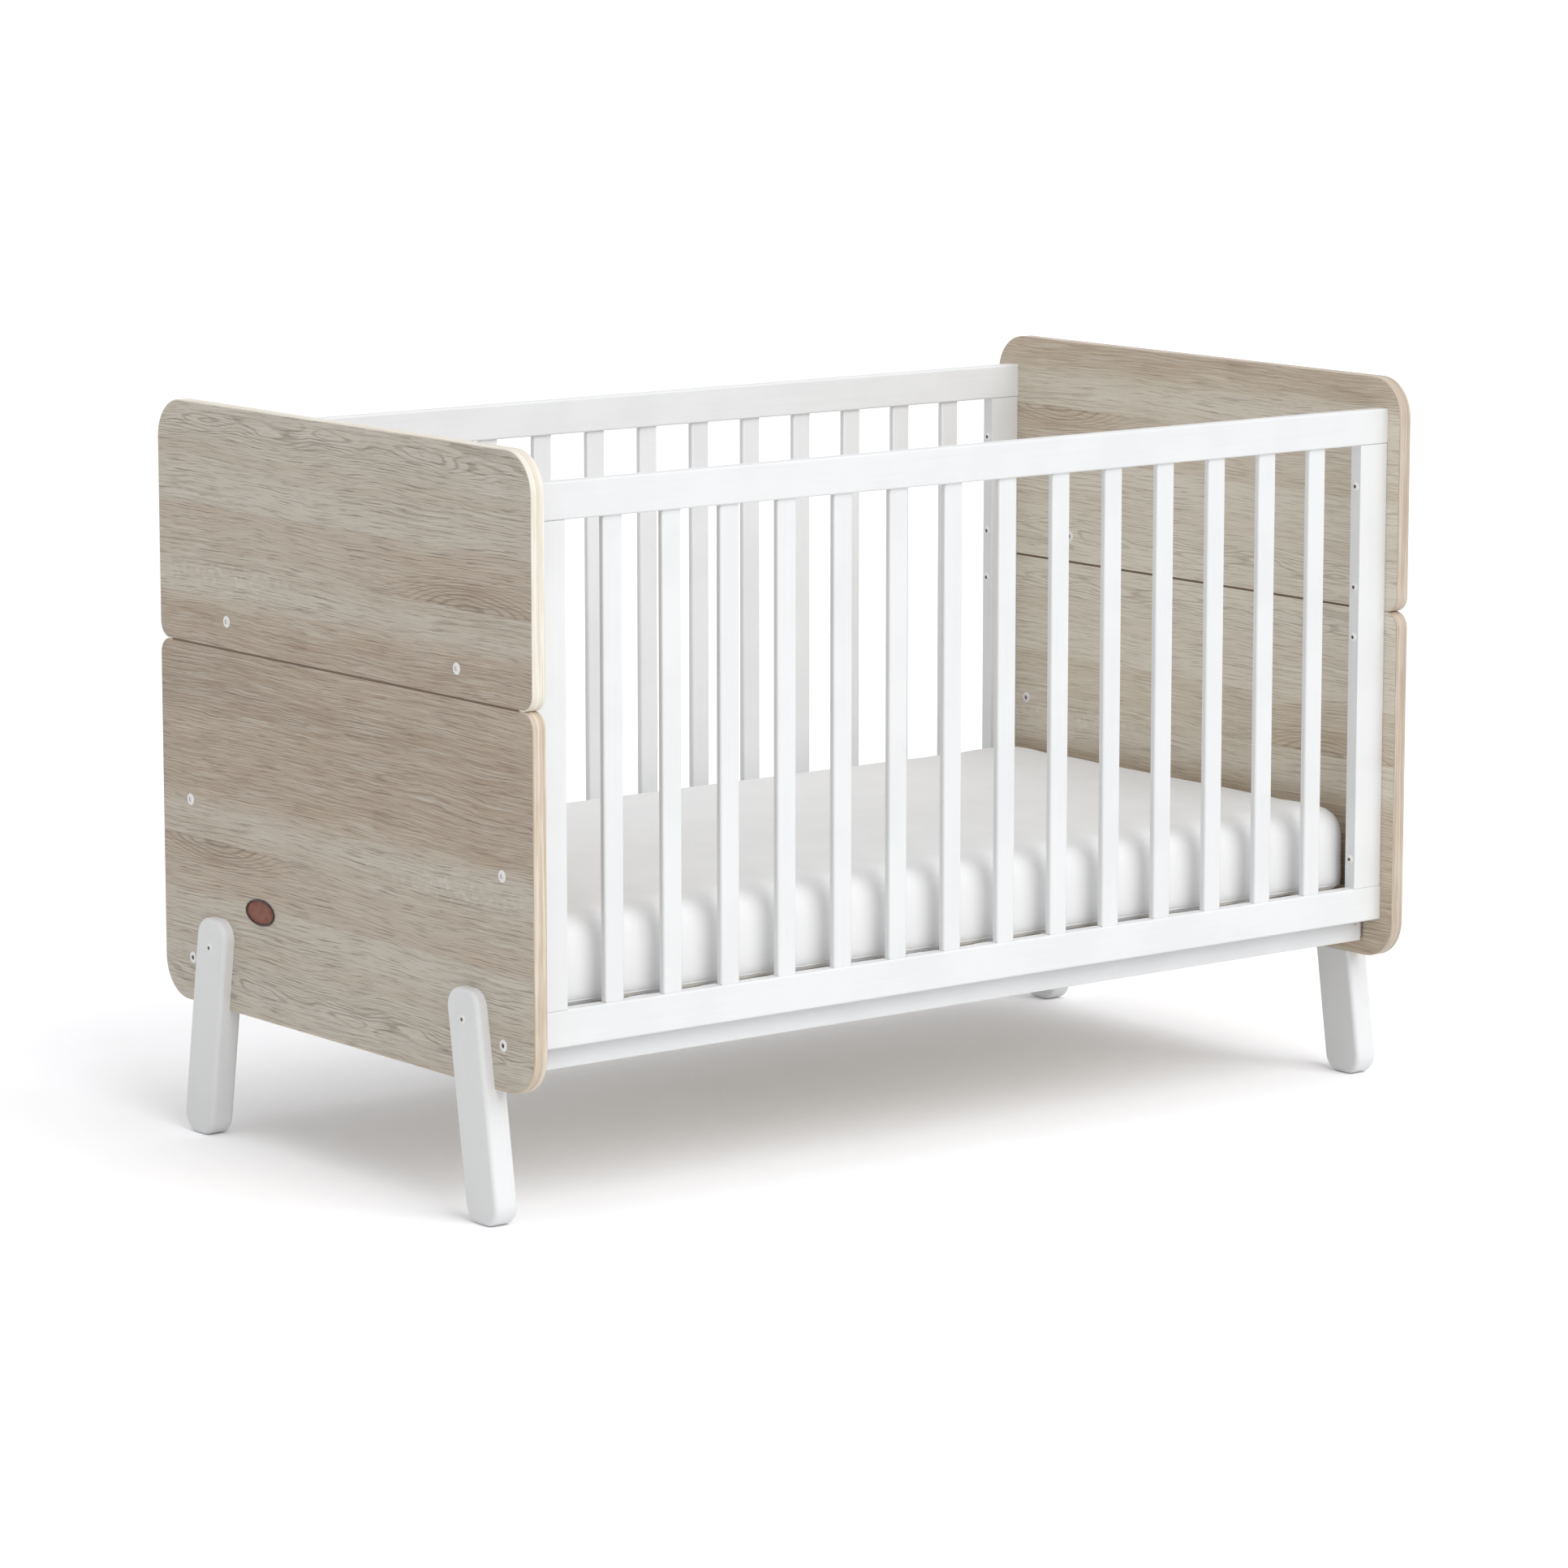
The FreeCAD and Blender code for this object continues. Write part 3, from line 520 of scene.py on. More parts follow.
def edge_band(name, pale, deep):
    """Printed strip with fine lines along it, in a pale and a deep tone, and painted dark in the joint as the
    shade of the gap.
    """
    material, tree, shader = new_material(name, roughness=0.5, specular_ior_level=0.4)
    sway = product(tree, noise(tree, stretched(tree, (20, 14, 14)), 1.0, 2.0), 2.2)
    swayed = node(tree, "ShaderNodeCombineXYZ", {0: sway}).outputs[0]
    place = node(tree, "ShaderNodeVectorMath", {0: stretched(tree, (620, 9, 9)), 1: swayed}, operation="ADD")
    lines = noise(tree, place.outputs[0], 1.0, 3.0, 0.6)
    bands = noise(tree, stretched(tree, (190, 4, 4), shift=(4, 2, 1)), 1.0, 2.0)
    mottle = noise(tree, stretched(tree, (60, 22, 22), shift=(1, 5, 2)), 1.0, 2.0)
    tone = total(tree, product(tree, lines, 0.5), product(tree, bands, 0.35), product(tree, mottle, 0.15))
    colour = blend_colours(tree, spread(tree, tone, 0.40, 0.62), deep, pale)
    own = node(tree, "ShaderNodeSeparateXYZ", {0: stretched(tree, (1, 1, 1))}).outputs
    from_joint = calc(tree, "ABSOLUTE", calc(tree, "SUBTRACT", own["Z"], JOINT))
    from_middle = calc(tree, "ABSOLUTE", own["Y"])
    # Painted shade: within a few millimetres of the joint the strip turns dark, as the gap between the boards
    # lies in shade.
    joint = product(
        tree, spread(tree, from_joint, 3 * MM, 5 * MM, 1.0, 0.0),
        spread(tree, from_middle, CORNER_START - 8 * MM, CORNER_START, 1.0, 0.0),
    )
    dress(tree, shader, blend_colours(tree, joint, colour, OAK_MARK), lines, 0.05 * MM, 0.4)
    return material


BANDS = {                             # pale and deep tone of each strip
    "left_upper_edge_band": (srgb(244, 240, 231), srgb(225, 215, 198)),
    "left_lower_edge_band": (srgb(226, 214, 198), srgb(196, 178, 156)),
    "right_upper_edge_band": (srgb(212, 199, 183), srgb(184, 167, 149)),
    "right_lower_edge_band": (srgb(212, 199, 183), srgb(184, 167, 149)),
}
for band, (pale, deep) in BANDS.items():
    paint_node(band, edge_band(band + "_print", pale, deep))
print(len(BANDS), "edge bands painted, dark round the joint at", round(JOINT / MM, 1), "mm")

# %% [markdown]
# ## White lacquer
# Rails, stiles, slats, legs and the base rails are solid wood under white lacquer. Lacquer levels out, but
# never fully: the grain shows through as very shallow lines along each stick, a fine orange peel lies over
# it, and the coat is a touch thinner in places. The colour hardly moves, so most of the finish is relief.
# One function makes the finish for sticks along X, Y or Z by stretching its grain that way.

# %% White lacquer
LACQUER = srgb(236, 237, 238)
LACQUER_THIN = srgb(232, 233, 234)


def white_lacquer(axis):
    """White lacquer over wood whose grain runs along axis 0, 1 or 2."""
    name = "white_lacquer_" + "xyz"[axis]
    material, tree, shader = new_material(name, specular_ior_level=0.45)
    grain = noise(tree, stretched(tree, axis_scale(axis, 5.0, 260.0)), 1.0, 3.0, 0.55)
    peel = noise(tree, stretched(tree, (520, 520, 520)), 1.0, 1.0)
    cloud = noise(tree, stretched(tree, (9, 9, 9)), 1.0, 3.0)
    coat = total(tree, product(tree, grain, 0.25), product(tree, cloud, 0.75))
    colour = blend_colours(tree, spread(tree, coat, 0.38, 0.58), LACQUER_THIN, LACQUER)
    felt = total(tree, product(tree, grain, 0.6), product(tree, peel, 0.4))
    dress(tree, shader, colour, felt, 0.02 * MM, 0.3, spread(tree, cloud, 0.3, 0.7, 0.34, 0.44))
    return material


lacquers = [white_lacquer(axis) for axis in range(3)]
print(len(lacquers), "lacquers, one for each direction")

# %% [markdown]
# The record names a finish for every CAD node. The nodes of white wood keep their CAD shape, and each takes
# the lacquer whose grain runs along its longest side.

# %% Lacquer on the CAD nodes
finish_of = {part["node"]: part["material_slot"] for part in frame["record"]["subparts"]}


def nodes_in(finish):
    """Names of the CAD nodes that have a finish."""
    return [name for name, own in finish_of.items() if own == finish]


for name in nodes_in("white_wood"):
    low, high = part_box(name)
    side = list(high - low)
    paint_node(name, lacquers[side.index(max(side))])
print("lacquer on", len(nodes_in("white_wood")), "nodes")

# %% [markdown]
# ## Bare wood
# The base slats are bare birch under the mattress, and the dowels in the joints are beech. Bare wood
# shows early and late growth as soft stripes with thin darker lines, and no two slats match, so each stick
# takes its own tone from the place it lies at.

# %% Bare wood
def bare_wood(name, pale, deep, axis, pitch):
    """Unfinished wood with its grain along an axis. Sticks a pitch apart along X differ in tone."""
    material, tree, shader = new_material(name, roughness=0.62, specular_ior_level=0.3)
    place = stretched(tree, (1, 1, 1))
    run = node(tree, "ShaderNodeSeparateXYZ", {0: place}).outputs["X"]
    stick = calc(tree, "ROUND", calc(tree, "DIVIDE", run, pitch))
    own_tone = node(tree, "ShaderNodeTexWhiteNoise", {"W": stick}, noise_dimensions="1D").outputs["Value"]
    shifted = node(tree, "ShaderNodeCombineXYZ", {2: product(tree, own_tone, 5.0)}).outputs[0]
    place = node(tree, "ShaderNodeVectorMath", {0: place, 1: shifted}, operation="ADD").outputs[0]
    stripes, fibre = [
        noise(tree, node(tree, "ShaderNodeMapping", {"Vector": place, "Scale": scale}).outputs[0], 1.0, 3.0)
        for scale in (axis_scale(axis, 1.6, 95.0), axis_scale(axis, 12.0, 900.0))
    ]
    tone = total(tree, product(tree, stripes, 0.6), product(tree, fibre, 0.25), product(tree, own_tone, 0.22))
    colour = blend_colours(tree, spread(tree, tone, 0.36, 0.70), pale, deep)
    dress(tree, shader, colour, fibre, 0.12 * MM, 0.6)
    return material


base_slat_boxes = solids("base_slats")
base_slat_pitch = base_slat_boxes[1][0].x - base_slat_boxes[0][0].x
birch = {"pale": srgb(235, 227, 214), "deep": srgb(212, 200, 182)}
beech = {"pale": srgb(226, 198, 164), "deep": srgb(196, 160, 122)}
slat_wood = bare_wood("bare_birch", **birch, axis=1, pitch=base_slat_pitch)
dowel_wood = bare_wood("beech", **beech, axis=2, pitch=100 * MM)
paint_node("base_slats", slat_wood)
for name in nodes_in("dowel_wood"):
    paint_node(name, dowel_wood)
print(len(base_slat_boxes), "base slats,", round(base_slat_pitch / MM, 1), "mm apart")

# %% [markdown]
# ## Steel and white fittings
# The hidden fittings are zinc-plated steel, whose coat has a fine cloudy grain. The visible heads are
# lacquered white, so that they nearly vanish, and their sockets are painted grey, for uncoated metal and
# the shade in the recess. A stored value marks the sockets on the mesh, so that one material can hold both.

# %% Steel and white fittings
def zinc_steel():
    """Zinc-plated steel with a fine cloudy coat."""
    material, tree, shader = new_material("zinc_steel", metallic=1.0)
    cloud = noise(tree, stretched(tree, (300, 300, 300)), 1.0, 4.0)
    scratches = noise(tree, stretched(tree, (2600, 240, 2600)), 1.0, 2.0)
    colour = blend_colours(tree, spread(tree, cloud, 0.3, 0.7), srgb(186, 188, 190), srgb(212, 213, 214))
    dress(tree, shader, colour, scratches, 0.02 * MM, 0.4, spread(tree, cloud, 0.3, 0.7, 0.28, 0.46))
    return material


def white_cap():
    """Hard white lacquer on a metal head, glossier than the wood. The socket is painted grey, for uncoated
    metal and for the shade in it.
    """
    gloss = {"specular_ior_level": 0.5, "coat_weight": 0.15, "coat_roughness": 0.2}
    material, tree, shader = new_material("white_cap", **gloss)
    texture = noise(tree, stretched(tree, (1400, 1400, 1400)), 1.0, 2.0)
    cloud = noise(tree, stretched(tree, (140, 140, 140)), 1.0, 2.0)
    colour = blend_colours(tree, spread(tree, cloud, 0.35, 0.65), srgb(238, 238, 237), srgb(246, 246, 245))
    socket = node(tree, "ShaderNodeAttribute", attribute_name="socket").outputs["Fac"]
    # Painted shade: the socket is painted grey, for the uncoated metal and for the shade deep in the recess.
    colour = blend_colours(tree, spread(tree, socket, 0.1, 1.0), colour, srgb(168, 165, 160))
    dress(tree, shader, colour, texture, 0.02 * MM, 0.4, spread(tree, cloud, 0.3, 0.7, 0.26, 0.34))
    return material


steel = zinc_steel()
cap_white = white_cap()
for name in nodes_in("steel"):
    paint_node(name, steel)
paint_node("base_corner_screws", cap_white)       # they show, and are lacquered over with the rails
print("steel on", len(nodes_in("steel")), "nodes")

# %% [markdown]
# ## Geometry Nodes for rows and fasteners
# Slats, fasteners and stitches repeat by a rule, so a node group makes each of them: change one input and
# the whole row follows. The group is built in code with named inputs. An exported scene can't hold
# instances, so the group ends by making them real mesh and giving it a material.

# %% Helpers for node groups
def new_group(name, inputs):
    """Node group that takes and gives a mesh, with the named inputs. Gives the tree and their sockets."""
    tree = bpy.data.node_groups.new(name, "GeometryNodeTree")
    tree.interface.new_socket("Mesh", in_out="OUTPUT", socket_type="NodeSocketGeometry")
    tree.interface.new_socket("Mesh", in_out="INPUT", socket_type="NodeSocketGeometry")
    for label, kind in inputs.items():
        tree.interface.new_socket(label, in_out="INPUT", socket_type="NodeSocket" + kind)
    return tree, node(tree, "NodeGroupInput").outputs


def hand_out(tree, instances, material):
    """Ends a group: instances become real mesh and take the material."""
    real = node(tree, "GeometryNodeRealizeInstances", {0: instances}).outputs[0]
    painted = node(tree, "GeometryNodeSetMaterial", {"Geometry": real, "Material": material}).outputs[0]
    node(tree, "NodeGroupOutput", {0: painted})


def chance(tree, low, high, seed):
    """Random number from low to high for each instance, the same on every run."""
    values = {2: low, 3: high, "Seed": seed}
    return node(tree, "FunctionNodeRandomValue", values, data_type="FLOAT").outputs[1]


print("groups end in real mesh")

# %% [markdown]
# A modifier runs a group. Its inputs are set by their identifiers before it is first evaluated, and the
# result is kept as a plain mesh, so the piece no longer depends on the group. Each piece can then be
# measured against the CAD node that it stands for.

# %% Run a group and measure the piece
def plain_mesh(piece):
    """What a piece's modifiers make of it, as a mesh of its own."""
    return bpy.data.meshes.new_from_object(piece.evaluated_get(bpy.context.evaluated_depsgraph_get()))


def run_group(name, tree, start, values):
    """Runs a node group on a start mesh and keeps what it makes as a plain mesh piece."""
    draft = add_object(name + "_draft", start)
    rule = draft.modifiers.new("rule", "NODES")
    rule.node_group = tree
    for socket in tree.interface.items_tree:
        if socket.name in values and socket.in_out == "INPUT":
            rule[socket.identifier] = values[socket.name]
    draft.modifiers.new("flat faces stay flat", "WEIGHTED_NORMAL")
    piece = add_object(name, plain_mesh(draft))
    bpy.data.objects.remove(draft)
    return piece


def furthest_off(piece, node_name):
    """Largest difference, in mm, between the corners of a piece's box and of its CAD node's box."""
    points = np.array([vert.co for vert in piece.data.vertices])
    corners = np.array([points.min(axis=0), points.max(axis=0)])
    return round(float(np.abs(corners - np.array(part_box(node_name))).max()) / MM, 2)


print("pieces are kept as plain meshes")

# %% [markdown]
# ## Side slats
# Each side has a row of flat slats with softly rounded edges, tenoned into the rails. A slat could be a
# bevelled box copied by hand. As a node group it is a rectangle with filleted corners, swept along a line
# and set on the points of a row, and the count, size, pitch and rounding stay open to change.

# %% Slat group
def slat_row_group():
    """Row of upright slats along X."""
    tree, given = new_group("slat_row", {
        "Count": "Int", "First": "Vector", "Step": "Vector", "Width": "Float", "Thickness": "Float",
        "Length": "Float", "Arris": "Float", "Seed": "Int", "Material": "Material",
    })
    sizes = {"Width": given["Width"], "Height": given["Thickness"]}
    square = node(tree, "GeometryNodeCurvePrimitiveQuadrilateral", sizes).outputs[0]
    fillet = {"Curve": square, "Radius": given["Arris"], "Count": 6}
    rounded = node(tree, "GeometryNodeFilletCurve", fillet, mode="POLY").outputs[0]
    top = node(tree, "ShaderNodeCombineXYZ", {2: product(tree, given["Length"], 0.5)}).outputs[0]
    foot = node(tree, "ShaderNodeCombineXYZ", {2: product(tree, given["Length"], -0.5)}).outputs[0]
    line = node(tree, "GeometryNodeCurvePrimitiveLine", {"Start": foot, "End": top}).outputs[0]
    sweep = {"Curve": line, "Profile Curve": rounded, "Fill Caps": True}
    slat = node(tree, "GeometryNodeCurveToMesh", sweep).outputs[0]
    steps = {"Count": given["Count"], "Start Location": given["First"], "Offset": given["Step"]}
    row = node(tree, "GeometryNodeMeshLine", steps, mode="OFFSET").outputs[0]
    slats = node(tree, "GeometryNodeInstanceOnPoints", {"Points": row, "Instance": slat}).outputs[0]
    toned = {"Geometry": slats, "Name": "tone", "Value": chance(tree, 0.0, 1.0, given["Seed"])}
    marked = node(tree, "GeometryNodeStoreNamedAttribute", toned, data_type="FLOAT", domain="INSTANCE")
    hand_out(tree, marked.outputs[0], given["Material"])
    return tree


slat_row = slat_row_group()
print("slat group has", len(slat_row.nodes), "nodes")

# %% [markdown]
# Each slat keeps a random tone, so that the lacquer differs a little from one stick to the next. The counts,
# sizes and places come from the CAD slats, which the rows then replace.

# %% Side slats
SLAT_ARRIS = 2.5 * MM                 # rounding of a slat's long edges


def slat_lacquer():
    """The upright lacquer, slightly darker or lighter on each slat."""
    material = lacquers[2].copy()
    material.name = "white_lacquer_slats"
    tree = material.node_tree
    shader = next(n for n in tree.nodes if n.type == "BSDF_PRINCIPLED")
    coat = shader.inputs["Base Color"].links[0].from_socket
    tone = node(tree, "ShaderNodeAttribute", attribute_name="tone").outputs["Fac"]
    shade = blend_colours(tree, spread(tree, tone, 0.0, 1.0), (0.985, 0.985, 0.985), (1, 1, 1))
    tree.links.new(blend_colours(tree, 1.0, coat, shade, "MULTIPLY"), shader.inputs["Base Color"])
    return material


slat_white = slat_lacquer()
for seed, side in enumerate(("front", "rear")):
    boxes = solids(side + "_slats")
    size = boxes[0][1] - boxes[0][0]
    slats = run_group(side + "_slat_row", slat_row, bpy.data.meshes.new(side + "_start"), {
        "Count": len(boxes), "First": (boxes[0][0] + boxes[0][1]) / 2, "Step": boxes[1][0] - boxes[0][0],
        "Width": size.x, "Thickness": size.y, "Length": size.z, "Arris": SLAT_ARRIS, "Seed": seed,
        "Material": slat_white,
    })
    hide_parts(side + "_slats")
    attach(slats, "crib_frame")
    print(slats.name, len(slats.data.polygons), "faces, off by", furthest_off(slats, side + "_slats"), "mm")

# %% [markdown]
# ## Fasteners
# Low domed heads with a hexagon socket show on the stiles, the ends and the legs. A head is a turned
# shape, so it can be made as a stack of rings. Each ring is a list of points, and neighbouring rings are
# joined by faces. The badge and the mattress are made with the same helper later.

# %% Rings and a skin over them
RING_POINTS = 48


def circle(radius, height):
    """Ring of points at a height."""
    angles = [2 * math.pi * step / RING_POINTS for step in range(RING_POINTS)]
    return [Vector((radius * math.cos(angle), radius * math.sin(angle), height)) for angle in angles]


def hexagon(across_flats, height):
    """Ring of as many points on a hexagon's outline, a point at each corner."""
    ring = circle(1, height)
    for point in ring:
        beside_flat = (math.atan2(point.y, point.x) % (math.pi / 3)) - math.pi / 6
        reach = across_flats / 2 / math.cos(beside_flat)
        point.x *= reach
        point.y *= reach
    return ring


def skin(name, rings, sharp=35, looped=False):
    """Mesh through rings of points, closed by end faces, or looped: the last ring joins the first."""
    mesh = bmesh.new()
    rows = [[mesh.verts.new(point) for point in ring] for ring in rings]
    for inner, outer in zip(rows, rows[1:] + rows[:1] if looped else rows[1:]):
        for step in range(len(inner)):
            after = (step + 1) % len(inner)
            mesh.faces.new((inner[step], inner[after], outer[after], outer[step]))
    if not looped:
        mesh.faces.new(rows[0])
        mesh.faces.new(rows[-1])
    bmesh.ops.recalc_face_normals(mesh, faces=mesh.faces)
    for face in mesh.faces:
        face.smooth = True
    for edge in mesh.edges:
        edge.smooth = edge.calc_face_angle(0) < math.radians(sharp)
    made = bpy.data.meshes.new(name)
    mesh.to_mesh(made)
    mesh.free()
    return made


print("a ring has", RING_POINTS, "points")

# %% [markdown]
# A fastener's rings run from the tip of the shank to the rim of the head, up its edge, over the dome, then
# round the hexagon and down into the socket. The hexagon's ring has as many points as the round ones, so
# the faces between them stay in order.

# %% One fastener
HEAD_EDGE = 0.4 * MM                  # upright edge of the head
HEAD_ARRIS = 0.1 * MM                 # broken edge under the head
TIP_CHAMFER = 0.5 * MM                # at the end of the shank
SOCKET_SHARE = 0.36                   # hexagon across flats, as a share of the head
DOME_SHARES = (1.0, 0.95, 0.88, 0.78, 0.66, 0.54)  # radii of the rings over the dome


def domed_fastener(name, head, height, shank, length, socket_depth):
    """Fastener that points up, with the underside of its head at 0."""
    crown = (head ** 2 / 4 + (height - HEAD_EDGE) ** 2) / (2 * (height - HEAD_EDGE))   # radius of the dome
    mouth = head * SOCKET_SHARE
    rings = [circle(shank / 2 - TIP_CHAMFER, -length), circle(shank / 2, -length + TIP_CHAMFER)]
    rings += [circle(shank / 2, 0), circle(head / 2 - HEAD_ARRIS, 0), circle(head / 2, HEAD_ARRIS)]
    for share in DOME_SHARES:
        radius = head / 2 * share
        rings.append(circle(radius, height - crown + math.sqrt(crown ** 2 - radius ** 2)))
    brim = height - crown + math.sqrt(crown ** 2 - (mouth * 0.66) ** 2)
    rings += [hexagon(mouth + 0.5 * MM, brim), hexagon(mouth, brim - 0.25 * MM)]
    rings += [hexagon(mouth, -socket_depth), circle(mouth * 0.3, -socket_depth - 0.3 * MM)]
    shape = skin(name, rings)
    # The socket's rings are marked to be painted grey: uncoated metal and painted shade in the recess.
    bare_and_shaded = [float(ring >= len(rings) - 3) for ring in range(len(rings)) for _ in range(RING_POINTS)]
    shape.attributes.new("socket", "FLOAT", "POINT").data.foreach_set("value", bare_and_shaded)
    return shape


print("a head is", len(domed_fastener("try", 12 * MM, 2 * MM, 6 * MM, 40 * MM, 2 * MM).polygons), "faces")

# %% [markdown]
# Geometry Nodes set a fastener at every place where the CAD has one, head outwards and turned by chance,
# because nobody stops a screw at the same angle twice.

# %% Fastener group
def fastener_group():
    """One fastener at each point, its head along the point's outward direction, turned by chance."""
    tree, given = new_group("fasteners", {"Fastener": "Object", "Seed": "Int", "Material": "Material"})
    shape = node(tree, "GeometryNodeObjectInfo", {"Object": given["Fastener"]}).outputs["Geometry"]
    outward = node(tree, "GeometryNodeInputNamedAttribute", {"Name": "outward"}, data_type="FLOAT_VECTOR")
    look = {"Vector": outward.outputs[0]}
    upright = node(tree, "FunctionNodeAlignRotationToVector", look, axis="Z").outputs[0]
    spin = {"Axis": (0, 0, 1), "Angle": chance(tree, 0.0, 2 * math.pi, given["Seed"])}
    turned = node(tree, "FunctionNodeAxisAngleToRotation", spin).outputs[0]
    turn = {"Rotation": upright, "Rotate By": turned}
    rotation = node(tree, "FunctionNodeRotateRotation", turn, rotation_space="LOCAL").outputs[0]
    placed = {"Points": given["Mesh"], "Instance": shape, "Rotation": rotation}
    hand_out(tree, node(tree, "GeometryNodeInstanceOnPoints", placed).outputs[0], given["Material"])
    return tree


fasteners = fastener_group()
print("fastener group has", len(fasteners.nodes), "nodes")

# %% [markdown]
# The group needs one point for each fastener, just under its head, and the direction that the head looks
# in. Both come from the boxes of the CAD fasteners, and the direction is stored on the point.

# %% Places for the fasteners
def fastener_places(name, boxes, facing, height):
    """Points under the heads, each with its head's direction: away from the middle where facing is 1."""
    mesh = bpy.data.meshes.new(name + "_places")
    directions = [Vector((facing * math.copysign(1, low.x + high.x), 0, 0)) for low, high in boxes]
    places = []
    for (low, high), outward in zip(boxes, directions):
        face = high.x - height if outward.x > 0 else low.x + height
        places.append((face, (low.y + high.y) / 2, (low.z + high.z) / 2))
    mesh.from_pydata(places, [], [])
    mesh.attributes.new("outward", "FLOAT_VECTOR", "POINT").data.foreach_set("vector", np.ravel(directions))
    return mesh


def set_fasteners(name, node_name, facing, height, shank, socket_depth, seed):
    """Replaces a CAD node of fasteners by detailed ones of the same size, at the same places."""
    boxes = solids(node_name)
    size = boxes[0][1] - boxes[0][0]
    shape = domed_fastener(name, size.y, height, shank, size.x - height, socket_depth)
    pattern = add_object(name + "_pattern", shape)
    values = {"Fastener": pattern, "Seed": seed, "Material": cap_white}
    piece = run_group(name, fasteners, fastener_places(name, boxes, facing, height), values)
    bpy.data.objects.remove(pattern)
    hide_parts(node_name)
    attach(piece, "crib_frame")
    print(name, len(boxes), "pieces, off by", furthest_off(piece, node_name), "mm")


print("fasteners are turned by chance, each set with its own seed")

# %% [markdown]
# Five kinds of fastener show. The bolts of the stiles and the sleeves in the ends look inwards, the others
# outwards. Their heads are all lacquered white.

# %% All fasteners
INWARDS, OUTWARDS = -1, 1
THIN_HEAD = 1.2 * MM                  # caps of sleeves, cap screws and studs
FIRST_SEED = 11
FASTENERS = {                         # CAD node, way the head looks, its height, shank and socket depth
    "stile_bolt_set": ("stile_bolts", INWARDS, 2.4 * MM, 6 * MM, 2.4 * MM),
    "leg_bolt_set": ("leg_bolts", OUTWARDS, 2.0 * MM, 6 * MM, 2.4 * MM),
    "sleeve_nut_set": ("panel_sleeve_nuts", INWARDS, THIN_HEAD, 8 * MM, 1.0 * MM),
    "cap_screw_set": ("panel_cap_screws", OUTWARDS, THIN_HEAD, 5.5 * MM, 2.2 * MM),
    "base_stud_set": ("base_support_studs", OUTWARDS, THIN_HEAD, 8 * MM, 3.2 * MM),
}
for seed, (name, sizes) in enumerate(FASTENERS.items(), FIRST_SEED):
    set_fasteners(name, *sizes, seed)
print(len(FASTENERS), "kinds of fastener set")

# %% [markdown]
# ## Badge
# A small oval badge is fixed low on the outside of the left end: a reddish leather plate in a raised dark
# rim. It is left bare. Leather is a field of small pebbles with creases between them, which cells from a
# Voronoi pattern give, and its rim is waxed dark and burnished.

# %% Badge finishes
def badge_leather():
    """Smooth reddish leather: pebbled cells with fine creases between them, darker where they meet."""
    material, tree, shader = new_material("badge_leather", roughness=0.5, specular_ior_level=0.4)
    place = stretched(tree, (1, 1, 1))
    pebbles = {"Vector": place, "Scale": 900.0}
    cells = node(tree, "ShaderNodeTexVoronoi", pebbles, feature="DISTANCE_TO_EDGE").outputs[0]
    cloud = noise(tree, place, 120.0, 3.0)
    warm = blend_colours(tree, spread(tree, cloud, 0.3, 0.7), srgb(130, 75, 57), srgb(150, 90, 70))
    colour = blend_colours(tree, spread(tree, cells, 0.0, 0.12, 0.55, 0.0), warm, srgb(88, 48, 38))
    dress(tree, shader, colour, spread(tree, cells, 0.0, 0.2), 0.08 * MM, 0.7)
    return material


def rim_leather():
    """Dark waxed edge of the leather, streaked along X by the burnishing wheel."""
    material, tree, shader = new_material("rim_leather", roughness=0.38, specular_ior_level=0.45)
    streaks = noise(tree, stretched(tree, (900, 160, 160)), 1.0, 3.0)
    colour = blend_colours(tree, spread(tree, streaks, 0.3, 0.7), srgb(52, 33, 28), srgb(78, 50, 42))
    dress(tree, shader, colour, streaks, 0.05 * MM, 0.5)
    return material


print("badge finishes ready")

# %% [markdown]
# Both parts are rings of points again, this time ovals that stand away from the end. The rim is a rounded
# bead, closed on itself, and the plate swells a little and has one pressed line near its edge.

# %% Badge parts
def badge_part(name, node_name, profile, material, looped=False):
    """Piece through ovals, each given by its inset from the badge's outline and its height from 0 to 1."""
    low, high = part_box(node_name)
    outline_low, outline_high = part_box("badge_rim")
    middle = (outline_low + outline_high) / 2
    half = (outline_high - outline_low) / 2
    rings = []
    for inset, height in profile:
        x = high.x + (low.x - high.x) * height
        unit = circle(1, 0)
        rings.append([
            Vector((x, middle.y + point.x * (half.y - inset), middle.z + point.y * (half.z - inset)))
            for point in unit
        ])
    piece = add_object(name, skin(name, rings, 50, looped))
    piece.data.materials.append(material)
    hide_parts(node_name)
    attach(piece, "crib_frame")
    print(name, len(piece.data.polygons), "faces, off by", furthest_off(piece, node_name), "mm")


RIM_WIDTH = 3.0 * MM
bead = [(RIM_WIDTH / 2 * (1 - math.cos(angle)), 0.35 + 0.65 * math.sin(angle))
        for angle in np.linspace(0, math.pi, 9)]
badge_part("badge_rim_bead", "badge_rim", [(0, 0)] + bead + [(RIM_WIDTH, 0)], rim_leather(), looped=True)

plate_edge = RIM_WIDTH + 0.15 * MM
pressed = RIM_WIDTH + 2.6 * MM        # the pressed line, in from the outline
plate = [(plate_edge, 0.0), (plate_edge, 0.62), (plate_edge + 0.5 * MM, 0.80), (pressed - 0.5 * MM, 0.84),
         (pressed, 0.66), (pressed + 0.5 * MM, 0.86), (9 * MM, 0.94), (12 * MM, 0.98), (15 * MM, 1.0)]
badge_part("badge_leather_plate", "badge_plate", plate, badge_leather())

# %% [markdown]
# ## Mattress
# The mattress is a foam block in a sewn white cover, pulled tight, so its edges are big and soft and its
# broad faces crown a little. A rounded block alone would look cast. Instead the block is made a few
# millimetres small, covered with an even net of faces, and blown up as cloth with a little air inside.
# How far a point may move is capped, so that the pad ends where the foam does, and the underside is
# pressed back to flat, because it lies on the slats. The block comes first, from rings again.

